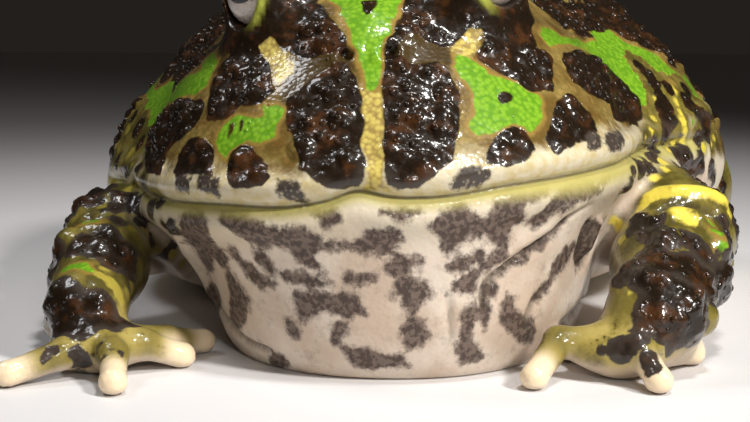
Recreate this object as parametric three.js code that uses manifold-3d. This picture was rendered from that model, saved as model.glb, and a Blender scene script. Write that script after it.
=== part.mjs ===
// An Argentine horned frog sitting squarely on a flat surface, as a life-size still model.
// Millimetres. X is the frog's left, the snout points along -Y, Z is up and the floor is z = 0.
// The body is one smooth implicit form, a blend of ellipsoids and tapered limbs. It is meshed on
// a grid and parted into head, jaw, torso and limbs by thin cuts where the parts meet.
import * as THREE from "three";
import { mergeVertices } from "three/addons/utils/BufferGeometryUtils.js";
import Module from "manifold-3d";

const wasm = await Module();
wasm.setup();

// Driving dimensions
const snoutToMiddle = 59; // the snout's front, ahead of the model's origin
const headHalfWidth = 31.8;
const mouthHeight = 21;
const mouthDepth = 42; // from the snout back to the corners of the mouth
const neckY = -14; // where the head and the jaw end and the torso begins
const bodyHalfWidth = 46.5;
const bodyTop = 53;
const rollDegrees = 4.5; // the frog leans, its left side the higher one
const eyeRadius = 4.4;
const faceMiddle = 1.2; // the eyes and nostrils sit this far to the left of the mouth's notch
const wartCount = 38; // on the back and the flanks
const wartSeed = 11;
const wartRadius = [1.9, 2.8];
const wartFlatness = 0.62; // a wart's height over its radius
const cutGap = 0.4; // between neighbouring nodes
const boxMiddle = [-0.08, -4.7]; // the middle of the whole outline, moved onto the origin
const trunkBlend = 6; // how softly head, jaw and torso flow into each other
const limbBlend = 3; // the same for a limb and the trunk

const roll = THREE.MathUtils.degToRad(rollDegrees);
const rollCos = Math.cos(roll);
const rollSin = Math.sin(roll);

// From the floor's frame to the frame of the leaning trunk, and back.
const toTrunk = ([x, y, z]) => [x * rollCos + z * rollSin, y, z * rollCos - x * rollSin];
const fromTrunk = ([u, v, w]) => [u * rollCos - w * rollSin, v, w * rollCos + u * rollSin];

// A smooth minimum: within k of each other, two forms melt together.
function melt(a, b, k) {
  const h = Math.max(k - Math.abs(a - b), 0) / k;
  return Math.min(a, b) - h * h * k * 0.25;
}

// A rounded body. plan is its exponent seen from above, rise and fall those of its upper and
// lower half seen from the side.
function dome({ at, half, front, back, up, down, plan = 2.3, rise = 2.1, fall = rise }) {
  return (p) => {
    const [x, y, z] = [p[0] - at[0], p[1] - at[1], p[2] - at[2]];
    const length = y < 0 ? front : back;
    const height = z > 0 ? up : down;
    const [X, Y, Z] = [Math.abs(x) / half, Math.abs(y) / length, Math.abs(z) / height];
    const q = Math.pow(Math.pow(X, plan) + Math.pow(Y, plan), 1 / plan) + 1e-6;
    const n = z > 0 ? rise : fall;
    const f = Math.pow(Math.pow(q, n) + Math.pow(Z, n), 1 / n);
    const byQ = Math.pow(q / f, n - 1);
    const slope = Math.hypot(
      (byQ * Math.pow(X / q, plan - 1)) / half,
      (byQ * Math.pow(Y / q, plan - 1)) / length,
      Math.pow(Z / f, n - 1) / height,
    );
    return (f - 1) / slope;
  };
}

// An ellipsoid along the axes.
const ball = (at, [rx, ry, rz]) =>
  dome({ at, half: rx, front: ry, back: ry, up: rz, down: rz, plan: 2, rise: 2 });

// A limb's length of flesh: a segment whose radius runs from ra to rb.
function limb(a, b, ra, rb) {
  const ab = b.map((n, i) => n - a[i]);
  const square = ab[0] ** 2 + ab[1] ** 2 + ab[2] ** 2;
  return (p) => {
    const [x, y, z] = [p[0] - a[0], p[1] - a[1], p[2] - a[2]];
    const t = Math.min(1, Math.max(0, (x * ab[0] + y * ab[1] + z * ab[2]) / square));
    return Math.hypot(x - t * ab[0], y - t * ab[1], z - t * ab[2]) - ra - (rb - ra) * t;
  };
}

const union = (forms, k) => (p) => forms.reduce((d, form) => melt(d, form(p), k), 1e3);
const onTrunk = (form) => (p) => form(toTrunk(p));
const bothSides = (make) => [make(-1), make(1)];
const nameOfSide = (s) => (s < 0 ? "right" : "left");

// Head, jaw and torso, in the frame of the leaning trunk
const mouthY = -snoutToMiddle + mouthDepth;
const eyeAt = (s) => [faceMiddle + s * 13.3, -40, 44.2];
const hornTip = (s) => [faceMiddle + s * 16.6, -38, 54.6];
const tympanumAt = (s) => [s * 28.6, -22, 31];

const headForm = union(
  [
    dome({
      at: [0, mouthY, mouthHeight],
      half: headHalfWidth, front: mouthDepth, back: 36, up: 24.5, down: 9,
      plan: 2.3, rise: 2.05,
    }),
    ball([0, -30, 36], [11, 20, 10]),
    ball([0, -14, 36], [22, 22, 13]),
    ...bothSides((s) => ball([faceMiddle + s * 12.2, -38, 42], [5.8, 8, 6])),
  ],
  5,
);

const jawForm = union(
  [
    dome({
      at: [0, mouthY, mouthHeight],
      half: headHalfWidth - 1, front: mouthDepth - 0.9, back: 36, up: 7, down: 16.5,
      plan: 2.3, rise: 2.1, fall: 1.9,
    }),
    dome({
      at: [1.2, -27, 12],
      half: 24.5, front: 32.5, back: 26, up: 12, down: 20,
      plan: 2.2, rise: 2.1, fall: 2.6,
    }),
  ],
  7,
);

const torsoForm = union(
  [
    dome({
      at: [0.5, 4, 17],
      half: bodyHalfWidth, front: 37, back: 50, up: bodyTop - 17, down: 20.5,
      plan: 2, rise: 1.62, fall: 2,
    }),
    ball([0, 44, 13], [17, 13, 12]),
    ...bothSides((s) => ball([s * 29, -8, 20], [12, 15, 12])),
  ],
  6,
);

// The line of the mouth across the frog: nearly level, with a small notch under the snout
function mouthLine(u) {
  const notch = 0.9 * Math.exp(-((u / 2.6) ** 2));
  const lobes = -0.45 * Math.exp(-(((Math.abs(u) - 9) / 5) ** 2));
  return mouthHeight + notch + lobes;
}

// How far the lips stand out along the mouth, fading towards the neck
function lips([u, v, w]) {
  const above = w - mouthLine(u);
  const fade = Math.min(1, Math.max(0, (-12 - v) / 8));
  const upper = 0.8 * Math.exp(-(((above - 2.1) / 1.6) ** 2));
  const lower = 0.7 * Math.exp(-(((above + 2.3) / 1.7) ** 2));
  return fade * (upper + lower);
}

// The upper eyelid with its soft horn, over the eyeball
const lidForm = (s) => {
  const [u, v, w] = eyeAt(s);
  const lid = ball([u - s * 0.9, v + 1.6, w + 1.1], [5.6, 6.2, 5.2]);
  const horn = limb([u + s * 1.4, v + 1, w + 4.5], hornTip(s), 3, 0.5);
  return union([lid, horn], 2.5);
};

// Arms, on the floor's frame. s is -1 for the frog's right side and 1 for its left.
const shoulder = (s) => [s * 27, -19, 15.5 + s * 1.5];
const elbow = { "-1": [-37.4, -31, 12], 1: [35.4, -31, 13] };
const wrist = { "-1": [-35.2, -50.4, 6.4], 1: [31.4, -48.4, 7] };
const palm = { "-1": [-32.6, -55.2, 3.1], 1: [27, -52, 3.3] };
const upperArmRadius = { "-1": 7.8, 1: 8 };
const forearmRadius = { "-1": 5.7, 1: 6.9 };
const wristRadius = { "-1": 4.4, 1: 5.4 };
// Each finger's knuckle and tip, from the innermost outwards
const fingers = {
  "-1": [
    [[-25.6, -50.2, 2.6], [-22.6, -45.4, 1.4]],
    [[-26.6, -55.0, 3.4], [-20.8, -52.4, 1.4]],
    [[-29.2, -59.8, 3.2], [-27.7, -65.1, 1.4]],
    [[-35.2, -59.4, 2.9], [-40.2, -63.2, 1.4]],
  ],
  1: [
    [[23.4, -48.2, 3.0], [21.4, -44.6, 1.4]],
    [[20.2, -52.8, 4.2], [17.4, -58.2, 1.4]],
    [[28.9, -54.9, 3.9], [30.8, -58.4, 1.4]],
    [[31.9, -49.4, 3.0], [35.8, -45.2, 1.4]],
  ],
};
const armForm = (s) => {
  const middle = elbow[s].map((e, i) => e * 0.55 + wrist[s][i] * 0.45);
  return union(
    [
      limb(shoulder(s), elbow[s], upperArmRadius[s], forearmRadius[s] + 0.3),
      limb(elbow[s], middle, forearmRadius[s], forearmRadius[s]),
      limb(middle, wrist[s], forearmRadius[s], wristRadius[s]),
    ],
    1,
  );
};
const handForm = (s) =>
  union(
    [
      limb(wrist[s], palm[s], wristRadius[s] - 0.6, 3.2),
      ball(palm[s], [5.4, 4.2, 2.9]),
      ...fingers[s].map(([knuckle, tip]) => {
        const pad = ball(tip, [1.5, 1.5, 1.45]);
        return union([limb(palm[s], knuckle, 2.4, 1.75), limb(knuckle, tip, 1.7, 1.4), pad], 0.6);
      }),
    ],
    1.3,
  );

// Hind legs, folded against the flanks
const hip = (s) => [s * 19, 41, 14];
const knee = (s) => [s * 39, 18, 13.5];
const heel = (s) => [s * 30, 48, 6.6];
const ankle = (s) => [s * 33, 34, 4.4];
const footCut = [0, -0.06, 1]; // square to the cut through the ankle, the foot below it
// Toes from the innermost outwards. turn: degrees from straight outwards towards the front
const toes = [
  { length: 9, turn: 78 },
  { length: 13, turn: 70 },
  { length: 18, turn: 60 },
  { length: 22, turn: 50 },
  { length: 14, turn: 34 },
];
const thighForm = (s) => limb(hip(s), knee(s), 14, 10);
const shankForm = (s) => limb([knee(s)[0] + s * 1.5, knee(s)[1] + 3, 8.2], heel(s), 7.8, 6);
const toeForm = (s, { length, turn }, i) => {
  const angle = THREE.MathUtils.degToRad(turn);
  const root = [ankle(s)[0] - s * 1.3 * (2 - i), ankle(s)[1] - 1.4 * (2 - i), 3];
  const tip = [root[0] + s * length * Math.cos(angle), root[1] - length * Math.sin(angle), 1.4];
  return union([limb(root, tip, 2.5, 1.35), ball(tip, [1.5, 1.5, 1.45])], 0.5);
};
const footForm = (s) =>
  union(
    [
      limb(heel(s), ankle(s), 4.4, 3.8),
      ball([ankle(s)[0] - s * 4, ankle(s)[1] + 1, 2.4], [2.6, 3.4, 2.3]),
      ...toes.map((toe, i) => toeForm(s, toe, i)),
    ],
    1.2,
  );

const plainTrunk = union([headForm, jawForm, torsoForm], trunkBlend);
const trunkForm = onTrunk((p) => plainTrunk(p) - lips(p));
const lidForms = bothSides((s) => onTrunk(lidForm(s)));
const limbs = Object.fromEntries(
  [-1, 1].map((s) => [
    s,
    { arm: armForm(s), hand: handForm(s), thigh: thighForm(s), shank: shankForm(s), foot: footForm(s) },
  ]),
);
const limbForms = [-1, 1].flatMap((s) => Object.values(limbs[s]));
const wholeForm = (p) => {
  const trunk = lidForms.reduce((d, lid) => melt(d, lid(p), 1.6), trunkForm(p));
  return Math.max(limbForms.reduce((d, form) => melt(d, form(p), limbBlend), trunk), -p[2]);
};

// The lines of a grid from low to high, one step apart, and closer together within fine bands.
function gridLines(low, high, step, bands) {
  const lines = [low];
  while (lines.at(-1) < high) {
    const here = lines.at(-1);
    const band = bands.find(({ from, to }) => here >= from && here < to);
    lines.push(here + (band ? band.step : step));
  }
  return lines;
}

// A point moved onto the surface of a field, by no more than reach.
function ontoSurface(field, p, reach) {
  const e = 0.02;
  const value = field(p);
  const slope = [0, 1, 2].map((n) => (field(p.map((x, i) => (i === n ? x + e : x))) - value) / e);
  const square = Math.max(slope[0] ** 2 + slope[1] ** 2 + slope[2] ** 2, 0.2);
  const move = slope.map((x) => (-value * x) / square);
  const limit = Math.min(1, reach / Math.max(Math.hypot(...move), 1e-9));
  return p.map((x, i) => x + move[i] * limit);
}

// A closed solid from a scalar field, negative inside, meshed on a grid that fills a box.
function solidFromField(field, { from, to, step, fine = [], pull = 0.3 }) {
  const lines = from.map((low, axis) => gridLines(low, to[axis], step, axis === 2 ? fine : []));
  const count = lines.map((l) => l.length);
  const at = (i, j, k) => i + count[0] * (j + count[1] * k);
  const values = new Float32Array(count[0] * count[1] * count[2]);
  const isRim = (i, j, k) => [i, j, k].some((n, axis) => n === 0 || n === count[axis] - 1);
  for (let k = 0; k < count[2]; k++)
    for (let j = 0; j < count[1]; j++)
      for (let i = 0; i < count[0]; i++) {
        const value = field([lines[0][i], lines[1][j], lines[2][k]]) || 1e-6;
        values[at(i, j, k)] = isRim(i, j, k) ? Math.max(step, value) : value;
      }
  const corners = [0, 1, 2, 3, 4, 5, 6, 7].map((c) => [c & 1, (c >> 1) & 1, c >> 2]);
  const pairs = [
    [0, 1], [2, 3], [4, 5], [6, 7], [0, 2], [1, 3], [4, 6], [5, 7], [0, 4], [1, 5], [2, 6], [3, 7],
  ];
  const vertexOf = new Map();
  const points = [];
  const addVertex = (i, j, k) => {
    const v = corners.map(([a, b, c]) => values[at(i + a, j + b, k + c)]);
    const mean = [0, 0, 0];
    let crossings = 0;
    for (const [a, b] of pairs)
      if (v[a] < 0 !== v[b] < 0) {
        const t = v[a] / (v[a] - v[b]);
        for (let n = 0; n < 3; n++) mean[n] += corners[a][n] + t * (corners[b][n] - corners[a][n]);
        crossings++;
      }
    if (!crossings) return;
    vertexOf.set(at(i, j, k), points.length / 3);
    const guess = [i, j, k].map((low, n) => {
      const [start, end] = [lines[n][low], lines[n][low + 1]];
      return start + (mean[n] / crossings) * (end - start);
    });
    const point = pull ? ontoSurface(field, guess, step * pull) : guess;
    if (Math.abs(point[2]) < 0.06) point[2] = 0;
    points.push(...point);
  };
  for (let k = 0; k < count[2] - 1; k++)
    for (let j = 0; j < count[1] - 1; j++) for (let i = 0; i < count[0] - 1; i++) addVertex(i, j, k);

  const triangles = [];
  const apart = (m, n) => Math.hypot(...[0, 1, 2].map((axis) => points[3 * m + axis] - points[3 * n + axis]));
  const addQuad = (a, b, c, d, flip) => {
    const [p, q, r, s] = flip ? [a, d, c, b] : [a, b, c, d];
    if (apart(p, r) < apart(q, s)) triangles.push(p, q, r, p, r, s);
    else triangles.push(q, r, s, q, s, p);
  };
  for (let k = 0; k < count[2] - 1; k++)
    for (let j = 0; j < count[1] - 1; j++)
      for (let i = 0; i < count[0] - 1; i++) {
        const inside = values[at(i, j, k)] < 0;
        const v = (a, b, c) => vertexOf.get(at(i - a, j - b, k - c));
        if (j && k && inside !== values[at(i + 1, j, k)] < 0)
          addQuad(v(0, 1, 1), v(0, 0, 1), v(0, 0, 0), v(0, 1, 0), !inside);
        if (i && k && inside !== values[at(i, j + 1, k)] < 0)
          addQuad(v(1, 0, 1), v(1, 0, 0), v(0, 0, 0), v(0, 0, 1), !inside);
        if (i && j && inside !== values[at(i, j, k + 1)] < 0)
          addQuad(v(1, 1, 0), v(0, 1, 0), v(0, 0, 0), v(1, 0, 0), !inside);
      }
  return new wasm.Manifold(
    new wasm.Mesh({
      numProp: 3,
      vertProperties: new Float32Array(points),
      triVerts: new Uint32Array(triangles),
    }),
  );
}

// The solid within which own is the nearer of two forms, its border moved outwards by grow.
function shareOf(own, other, grid, grow) {
  const difference = (p) => own(p) - other(p);
  const reach = 2 * grid.step;
  const field = (p) => {
    const d = difference(p);
    if (Math.abs(d) > reach) return d;
    const e = 0.05;
    const slope = Math.hypot(
      difference([p[0] + e, p[1], p[2]]) - d,
      difference([p[0], p[1] + e, p[2]]) - d,
      difference([p[0], p[1], p[2] + e]) - d,
    );
    return d / Math.max(slope / e, 0.4) - grow;
  };
  return solidFromField(field, { ...grid, pull: 0 });
}

// A three.js geometry as a solid.
function solidFromGeometry(geometry) {
  geometry.deleteAttribute("normal");
  geometry.deleteAttribute("uv");
  const merged = mergeVertices(geometry, 1e-4);
  return new wasm.Manifold(
    new wasm.Mesh({
      numProp: 3,
      vertProperties: merged.attributes.position.array,
      triVerts: new Uint32Array(merged.index.array),
    }),
  );
}

// An ellipsoid on the leaning trunk whose poles point along its third radius's axis.
function trunkEllipsoid(at, radii, axis, segments = 12, rings = 8) {
  const geometry = new THREE.SphereGeometry(1, segments, rings);
  geometry.rotateX(Math.PI / 2);
  geometry.scale(...radii);
  const up = new THREE.Vector3(0, 0, 1);
  geometry.applyMatrix4(new THREE.Matrix4().lookAt(new THREE.Vector3(...axis), new THREE.Vector3(), up));
  geometry.translate(...at);
  geometry.rotateY(-roll);
  return solidFromGeometry(geometry);
}

// The largest closed surface of a solid.
function largest(solid) {
  return solid.decompose().reduce((best, s) => (s.volume() > best.volume() ? s : best));
}

// The part of a solid on the far side of a plane through a point, half a gap away from it.
function beyond(solid, point, normal) {
  const n = new THREE.Vector3(...normal).normalize();
  return solid.trimByPlane(n.toArray(), n.dot(new THREE.Vector3(...point)) + cutGap / 2);
}
const opposite = (v) => v.map((n) => -n);
const towards = (a, b) => b.map((n, i) => n - a[i]);

// A box given for the left side, on either side.
const boxOn = (s, from, to) =>
  s > 0 ? { from, to } : { from: [-to[0], from[1], from[2]], to: [-from[0], to[1], to[2]] };

// Numbers from 0 to 1, the same ones for the same seed.
function drawsFrom(seed) {
  let state = seed;
  return () => {
    state = (state * 16807) % 2147483647;
    return state / 2147483647;
  };
}

// The outermost point of the skin along a line from inside the body, and the way out of it there.
function skinPoint(start, direction) {
  const length = Math.hypot(...direction);
  const at = (reach) => start.map((n, i) => n + (direction[i] / length) * reach);
  let reach = 90;
  while (reach > 0 && wholeForm(at(reach)) > 0.02) reach -= Math.max(0.02, 0.6 * wholeForm(at(reach)));
  const point = at(reach);
  const e = 0.05;
  const value = wholeForm(point);
  const outward = point.map((x, i) => wholeForm(point.map((y, j) => (j === i ? y + e : y))) - value);
  return { point, outward: outward.map((n) => n / Math.hypot(...outward)) };
}

// Warts on the back and flanks, spread round a spiral, and a few on each arm and thigh
const draw = drawsFrom(wartSeed);
const wartRoots = [];
for (let i = 0; i < wartCount; i++) {
  const rise = 0.1 + 0.78 * ((i + 0.5) / wartCount) + 0.06 * (draw() - 0.5);
  const angle = i * 2.39996 + 0.5 * (draw() - 0.5);
  const level = Math.sqrt(1 - rise * rise);
  const size = draw();
  const [u, v] = [46 * level * Math.sin(angle), 8 + 46 * level * Math.cos(angle)];
  if (v > -12) wartRoots.push({ start: [0, 8, 16], direction: fromTrunk([u, v - 8, 36 * rise]), size });
}
for (const s of [-1, 1])
  for (let i = 0; i < 4; i++) {
    const along = 0.2 + 0.22 * i;
    const start = elbow[s].map((n, axis) => n + (wrist[s][axis] - n) * along);
    const turn = -0.5 + 1.1 * (i % 3) + 0.4 * (draw() - 0.5);
    wartRoots.push({ start, direction: [s * Math.cos(turn), -0.5, Math.sin(turn)], size: 0.5 * draw() });
  }
const warts = wartRoots.map(({ start, direction, size }) => {
  const { point, outward } = skinPoint(start, direction);
  const radius = wartRadius[0] + (wartRadius[1] - wartRadius[0]) * size;
  return { point, outward, radius };
});

// One wart as a faceted low bump.
function wartSolid({ point, outward, radius }) {
  const geometry = new THREE.IcosahedronGeometry(radius, 0);
  geometry.rotateX(0.55);
  geometry.scale(1, 1, wartFlatness);
  const upright = new THREE.Vector3(0, 0, 1);
  geometry.applyQuaternion(new THREE.Quaternion().setFromUnitVectors(upright, new THREE.Vector3(...outward)));
  geometry.translate(...point.map((n, i) => n - outward[i] * 0.15 * radius));
  return solidFromGeometry(geometry);
}
const allWarts = warts.map(wartSolid).reduce((whole, wart) => whole.add(wart)).trimByPlane([0, 0, 1], 0);

const solids = new Map();

// Arms and legs, cut out of the whole where they meet the trunk, then parted at their joints
const limbHoles = [];
for (const s of [-1, 1]) {
  const side = "_" + nameOfSide(s);
  const { arm, hand, thigh, shank, foot } = limbs[s];
  const armGrid = { ...boxOn(s, [12, -62, -1.2], [52, -2, 34]), step: 2.4 };
  const handGrid = { ...boxOn(s, [12, -70, -1.2], [48, -40, 14]), step: 1.5 };
  const armShareGrid = { ...boxOn(s, [8, -72, -4], [56, -1, 36]), step: 2.9 };
  const wholeArm = union([arm, hand], 1);
  const armShare = shareOf(wholeArm, trunkForm, armShareGrid, -cutGap / 2);
  const armSolid = solidFromField(wholeForm, armGrid).add(allWarts).intersect(armShare);
  const handSolid = solidFromField(wholeForm, handGrid).intersect(armShare);
  const wristAxis = towards(elbow[s], wrist[s]);
  const elbowAxis = towards(shoulder(s), elbow[s]).map((n, i) => n + wristAxis[i]);
  solids.set("upper_arm" + side, beyond(armSolid, elbow[s], opposite(elbowAxis)));
  solids.set("forearm" + side, beyond(beyond(armSolid, elbow[s], elbowAxis), wrist[s], opposite(wristAxis)));
  solids.set("hand" + side, beyond(handSolid, wrist[s], wristAxis));
  limbHoles.push(shareOf(wholeArm, trunkForm, armShareGrid, cutGap / 2));

  const legGrid = { ...boxOn(s, [2, 2, -1.2], [58, 62, 32]), step: 4 };
  const legShareGrid = { ...boxOn(s, [0, 0, -5], [62, 66, 34]), step: 4.8 };
  const footGrid = { ...boxOn(s, [20, 6, -1.2], [58, 58, 14]), step: 1.9 };
  const lowerLeg = union([shank, foot], 1);
  const wholeLeg = union([thigh, lowerLeg], 1);
  const legShare = shareOf(wholeLeg, trunkForm, legShareGrid, -cutGap / 2);
  const thighShare = (grow) => shareOf(thigh, lowerLeg, legShareGrid, grow);
  const legSolid = solidFromField(wholeForm, legGrid).add(allWarts).intersect(legShare);
  const footSolid = solidFromField(wholeForm, footGrid).intersect(legShare);
  const thighHole = thighShare(cutGap / 2);
  solids.set("thigh" + side, legSolid.intersect(thighShare(-cutGap / 2)));
  solids.set("shank" + side, beyond(legSolid.subtract(thighHole), ankle(s), footCut));
  solids.set("foot" + side, beyond(footSolid.subtract(thighHole), ankle(s), opposite(footCut)));
  limbHoles.push(shareOf(wholeLeg, trunkForm, legShareGrid, cutGap / 2));
}

// Everything of the trunk above the mouth (side 1) or below it (side -1), ahead of the neck
function mouthCutter(side) {
  const shape = new THREE.Shape();
  const reach = 60;
  shape.moveTo(-reach, side * reach + mouthHeight);
  for (let i = 0; i <= 48; i++) {
    const u = -reach + (2 * reach * i) / 48;
    const bent = Math.abs(u) > 20 ? u : u * 0.9;
    shape.lineTo(bent, mouthLine(bent) + (side * cutGap) / 2);
  }
  shape.lineTo(reach, side * reach + mouthHeight);
  const length = 80;
  const geometry = new THREE.ExtrudeGeometry(shape, { depth: length, bevelEnabled: false });
  geometry.rotateX(Math.PI / 2);
  geometry.translate(0, neckY - cutGap / 2, 0);
  geometry.rotateY(-roll);
  return solidFromGeometry(geometry);
}

const lipBand = { from: mouthHeight - 5, to: mouthHeight + 5, step: 1.4 };
const floorBand = { from: -2, to: 2, step: 1.2 };
const headGrid = { from: [-44, -66, 12], to: [44, -6, 62], step: 2.6, fine: [lipBand] };
const jawGrid = { from: [-44, -66, -1.2], to: [44, -6, 30], step: 2.8, fine: [floorBand, lipBand] };
const torsoGrid = { from: [-56, -22, -1.2], to: [56, 66, 62], step: 4.4, fine: [floorBand] };
let head = solidFromField(wholeForm, headGrid).intersect(mouthCutter(1));
let jaw = solidFromField(wholeForm, jawGrid).intersect(mouthCutter(-1));
let torso = beyond(solidFromField(wholeForm, torsoGrid).add(allWarts), [0, neckY, 0], [0, 1, 0]);
for (const hole of limbHoles) {
  head = head.subtract(hole);
  jaw = jaw.subtract(hole);
  torso = torso.subtract(hole);
}

// Eyes with their sockets and lids
for (const s of [-1, 1]) {
  const side = "_" + nameOfSide(s);
  const lidGridAt = fromTrunk(eyeAt(s));
  const lidGrid = { from: lidGridAt.map((n) => n - 12), to: lidGridAt.map((n) => n + 13), step: 2.1 };
  const rest = onTrunk(headForm);
  const look = [s * 0.82, -0.55, 0.1];
  const opening = trunkEllipsoid(
    eyeAt(s).map((n, i) => n + look[i] * 4.6), [3.6, 3, 3.4], look, 14, 8,
  );
  const socket = trunkEllipsoid(eyeAt(s), [eyeRadius + 0.3, eyeRadius + 0.3, eyeRadius + 0.3], look, 14, 10);
  const lidShare = (grow) => shareOf(onTrunk(lidForm(s)), rest, lidGrid, grow);
  const lid = solidFromField(wholeForm, lidGrid).intersect(lidShare(-cutGap / 2));
  solids.set("eyelid_horn" + side, lid.subtract(socket).subtract(opening));
  head = head.subtract(lidShare(cutGap / 2)).subtract(socket).subtract(opening);
  solids.set("eye" + side, trunkEllipsoid(eyeAt(s), [eyeRadius, eyeRadius, eyeRadius], look, 14, 10));
}

// Nostrils and eardrums
for (const s of [-1, 1]) {
  const nostril = [faceMiddle + s * 2.4, -50.9, 36.2];
  head = head.subtract(trunkEllipsoid(nostril, [0.9, 0.6, 1.8], [s * 0.5, -1, 0.6], 8, 6));
  head = head.add(trunkEllipsoid(tympanumAt(s), [3.1, 3.4, 1.4], [s, -0.1, 0.35], 12, 6));
}
solids.set("head", head);
solids.set("lower_jaw", jaw);
solids.set("torso", torso);

function meshFromSolid(name, solid, material) {
  const { numProp, vertProperties, triVerts } = solid.getMesh();
  const position = new Float32Array((vertProperties.length / numProp) * 3);
  for (let i = 0; i < position.length / 3; i++)
    position.set(vertProperties.subarray(i * numProp, i * numProp + 3), 3 * i);
  const geometry = new THREE.BufferGeometry();
  geometry.setAttribute("position", new THREE.BufferAttribute(position, 3));
  geometry.setIndex(new THREE.BufferAttribute(triVerts, 1));
  geometry.computeVertexNormals();
  const mesh = new THREE.Mesh(geometry, material);
  mesh.name = name;
  return mesh;
}

const material = (color, roughness) => new THREE.MeshStandardMaterial({ color, roughness, metalness: 0 });
const backSkin = material(0x4a3418, 0.35);
const bellySkin = material(0xd8c8b0, 0.45);
const handSkin = material(0xb0a050, 0.4);
const iris = material(0xc8b0a8, 0.1);
const materialOf = (name) => {
  if (name === "lower_jaw") return bellySkin;
  if (name.startsWith("hand") || name.startsWith("foot")) return handSkin;
  return name.startsWith("eye_") ? iris : backSkin;
};

const frog = new THREE.Group();
for (const [name, solid] of solids) {
  const aboveFloor = solid.trimByPlane([0, 0, 1], 0);
  frog.add(meshFromSolid(name, largest(aboveFloor).simplify(cutGap * 0.45), materialOf(name)));
}
frog.position.set(-boxMiddle[0], -boxMiddle[1], 0);

export default frog;
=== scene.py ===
import math
import time

import bpy
import numpy as np
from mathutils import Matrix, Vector, kdtree, noise


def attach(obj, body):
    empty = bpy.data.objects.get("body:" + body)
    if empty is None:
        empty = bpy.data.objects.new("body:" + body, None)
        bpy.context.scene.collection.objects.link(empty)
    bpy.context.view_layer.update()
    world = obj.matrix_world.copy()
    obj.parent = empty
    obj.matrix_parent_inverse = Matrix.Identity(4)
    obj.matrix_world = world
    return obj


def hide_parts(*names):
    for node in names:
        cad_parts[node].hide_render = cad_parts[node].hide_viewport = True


started = time.time()
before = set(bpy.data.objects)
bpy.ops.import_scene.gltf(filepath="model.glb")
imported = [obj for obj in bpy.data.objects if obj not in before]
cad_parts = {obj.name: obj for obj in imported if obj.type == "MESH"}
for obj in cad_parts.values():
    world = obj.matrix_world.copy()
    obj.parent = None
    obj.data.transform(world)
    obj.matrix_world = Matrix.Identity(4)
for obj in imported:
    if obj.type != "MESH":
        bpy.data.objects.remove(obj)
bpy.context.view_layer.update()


def say(text):
    print(f"[frog] {time.time() - started:6.1f} s  {text}", flush=True)


def addObject(name, data):
    made = bpy.data.objects.new(name, data)
    bpy.context.scene.collection.objects.link(made)
    return made


# Camera and studio
# the photo is 750 x 422; the camera stands 150 mm before the snout, 40 mm above the floor
view = {
    "focalPixels": 1400.0, "frameWidth": 750, "frameHeight": 422, "horizonRow": 20.0,
    "height": 0.040, "ahead": 0.150, "turnDegrees": 6.0, "snout": (0.00008, -0.0543), "sensor": 36,
}
viewTurn = math.radians(view["turnDegrees"])
viewPitch = math.atan((view["frameHeight"] / 2 - view["horizonRow"]) / view["focalPixels"])
viewAlong = Vector((-math.sin(viewTurn), math.cos(viewTurn), 0))
viewPlace = Vector((*view["snout"], view["height"])) - viewAlong * view["ahead"]
viewAim = viewAlong * math.cos(viewPitch) - Vector((0, 0, 1)) * math.sin(viewPitch)


def makeCamera():
    camera = bpy.data.cameras.new("camera")
    camera.sensor_width = view["sensor"]
    camera.lens = view["focalPixels"] * view["sensor"] / view["frameWidth"]
    camera.clip_start = 0.01
    holder = addObject("camera", camera)
    holder.location = viewPlace
    holder.rotation_euler = viewAim.to_track_quat("-Z", "Y").to_euler()
    bpy.context.scene.camera = holder


makeCamera()

studio = {
    "keyPower": 0.31, "keySize": 0.07, "keyAt": (0.31, -0.26, 0.32),
    "sidePower": 0.07, "sideSize": 0.12, "sideAt": (-0.26, 0.02, 0.44),
    "topPower": 0.12, "topSize": 0.06, "topAt": (0.09, -0.12, 0.42),
    "frontPower": 0.022, "frontSize": 0.04, "frontAt": (0.08, -0.30, 0.12),
    "lightsAimAt": (0, -0.02, 0.02), "spreadDegrees": 66, "surround": (0.016, 0.014, 0.012),
    "floorHalf": 1.5, "floorColour": (0.79, 0.775, 0.78), "floorRoughness": 0.6, "exposure": 0.0,
}


def areaLight(name, colour=(1, 1, 1)):
    at = studio[name + "At"]
    light = bpy.data.lights.new(name + " light", "AREA")
    light.shape = "DISK"
    light.size = studio[name + "Size"]
    light.energy = studio[name + "Power"]
    light.color = colour
    light.spread = math.radians(studio["spreadDegrees"])
    holder = addObject(name + " light", light)
    holder.location = at
    aim = Vector(studio["lightsAimAt"]) - Vector(at)
    holder.rotation_euler = aim.to_track_quat("-Z", "Y").to_euler()


# adds a node to a tree: in_Name is an input, and a value that is a socket is linked
def wire(tree, kind, **values):
    made = tree.nodes.new(kind)
    for key, value in values.items():
        if not key.startswith("in_"):
            setattr(made, key, value)
    for key, value in values.items():
        if key.startswith("in_"):
            name = key[3:].replace("_", " ")
            socket = made.inputs[int(name)] if name.isdigit() else made.inputs[name]
            if isinstance(value, bpy.types.NodeSocket):
                tree.links.new(value, socket)
            else:
                socket.default_value = value
    return made


def mixColour(tree, amount, a, b):
    made = wire(tree, "ShaderNodeMix", data_type="RGBA", in_0=amount)
    for socket, value in ((made.inputs[6], a), (made.inputs[7], b)):
        if isinstance(value, bpy.types.NodeSocket):
            tree.links.new(value, socket)
        else:
            socket.default_value = (*value, 1)
    return made.outputs[2]


def maths(tree, operation, a, b=0.0):
    return wire(tree, "ShaderNodeMath", operation=operation, in_0=a, in_1=b).outputs[0]


def edge(tree, value, low, high, start=0.0, stop=1.0):
    return wire(tree, "ShaderNodeMapRange", interpolation_type="SMOOTHSTEP",
                in_0=value, in_1=low, in_2=high, in_3=start, in_4=stop).outputs[0]


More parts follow.
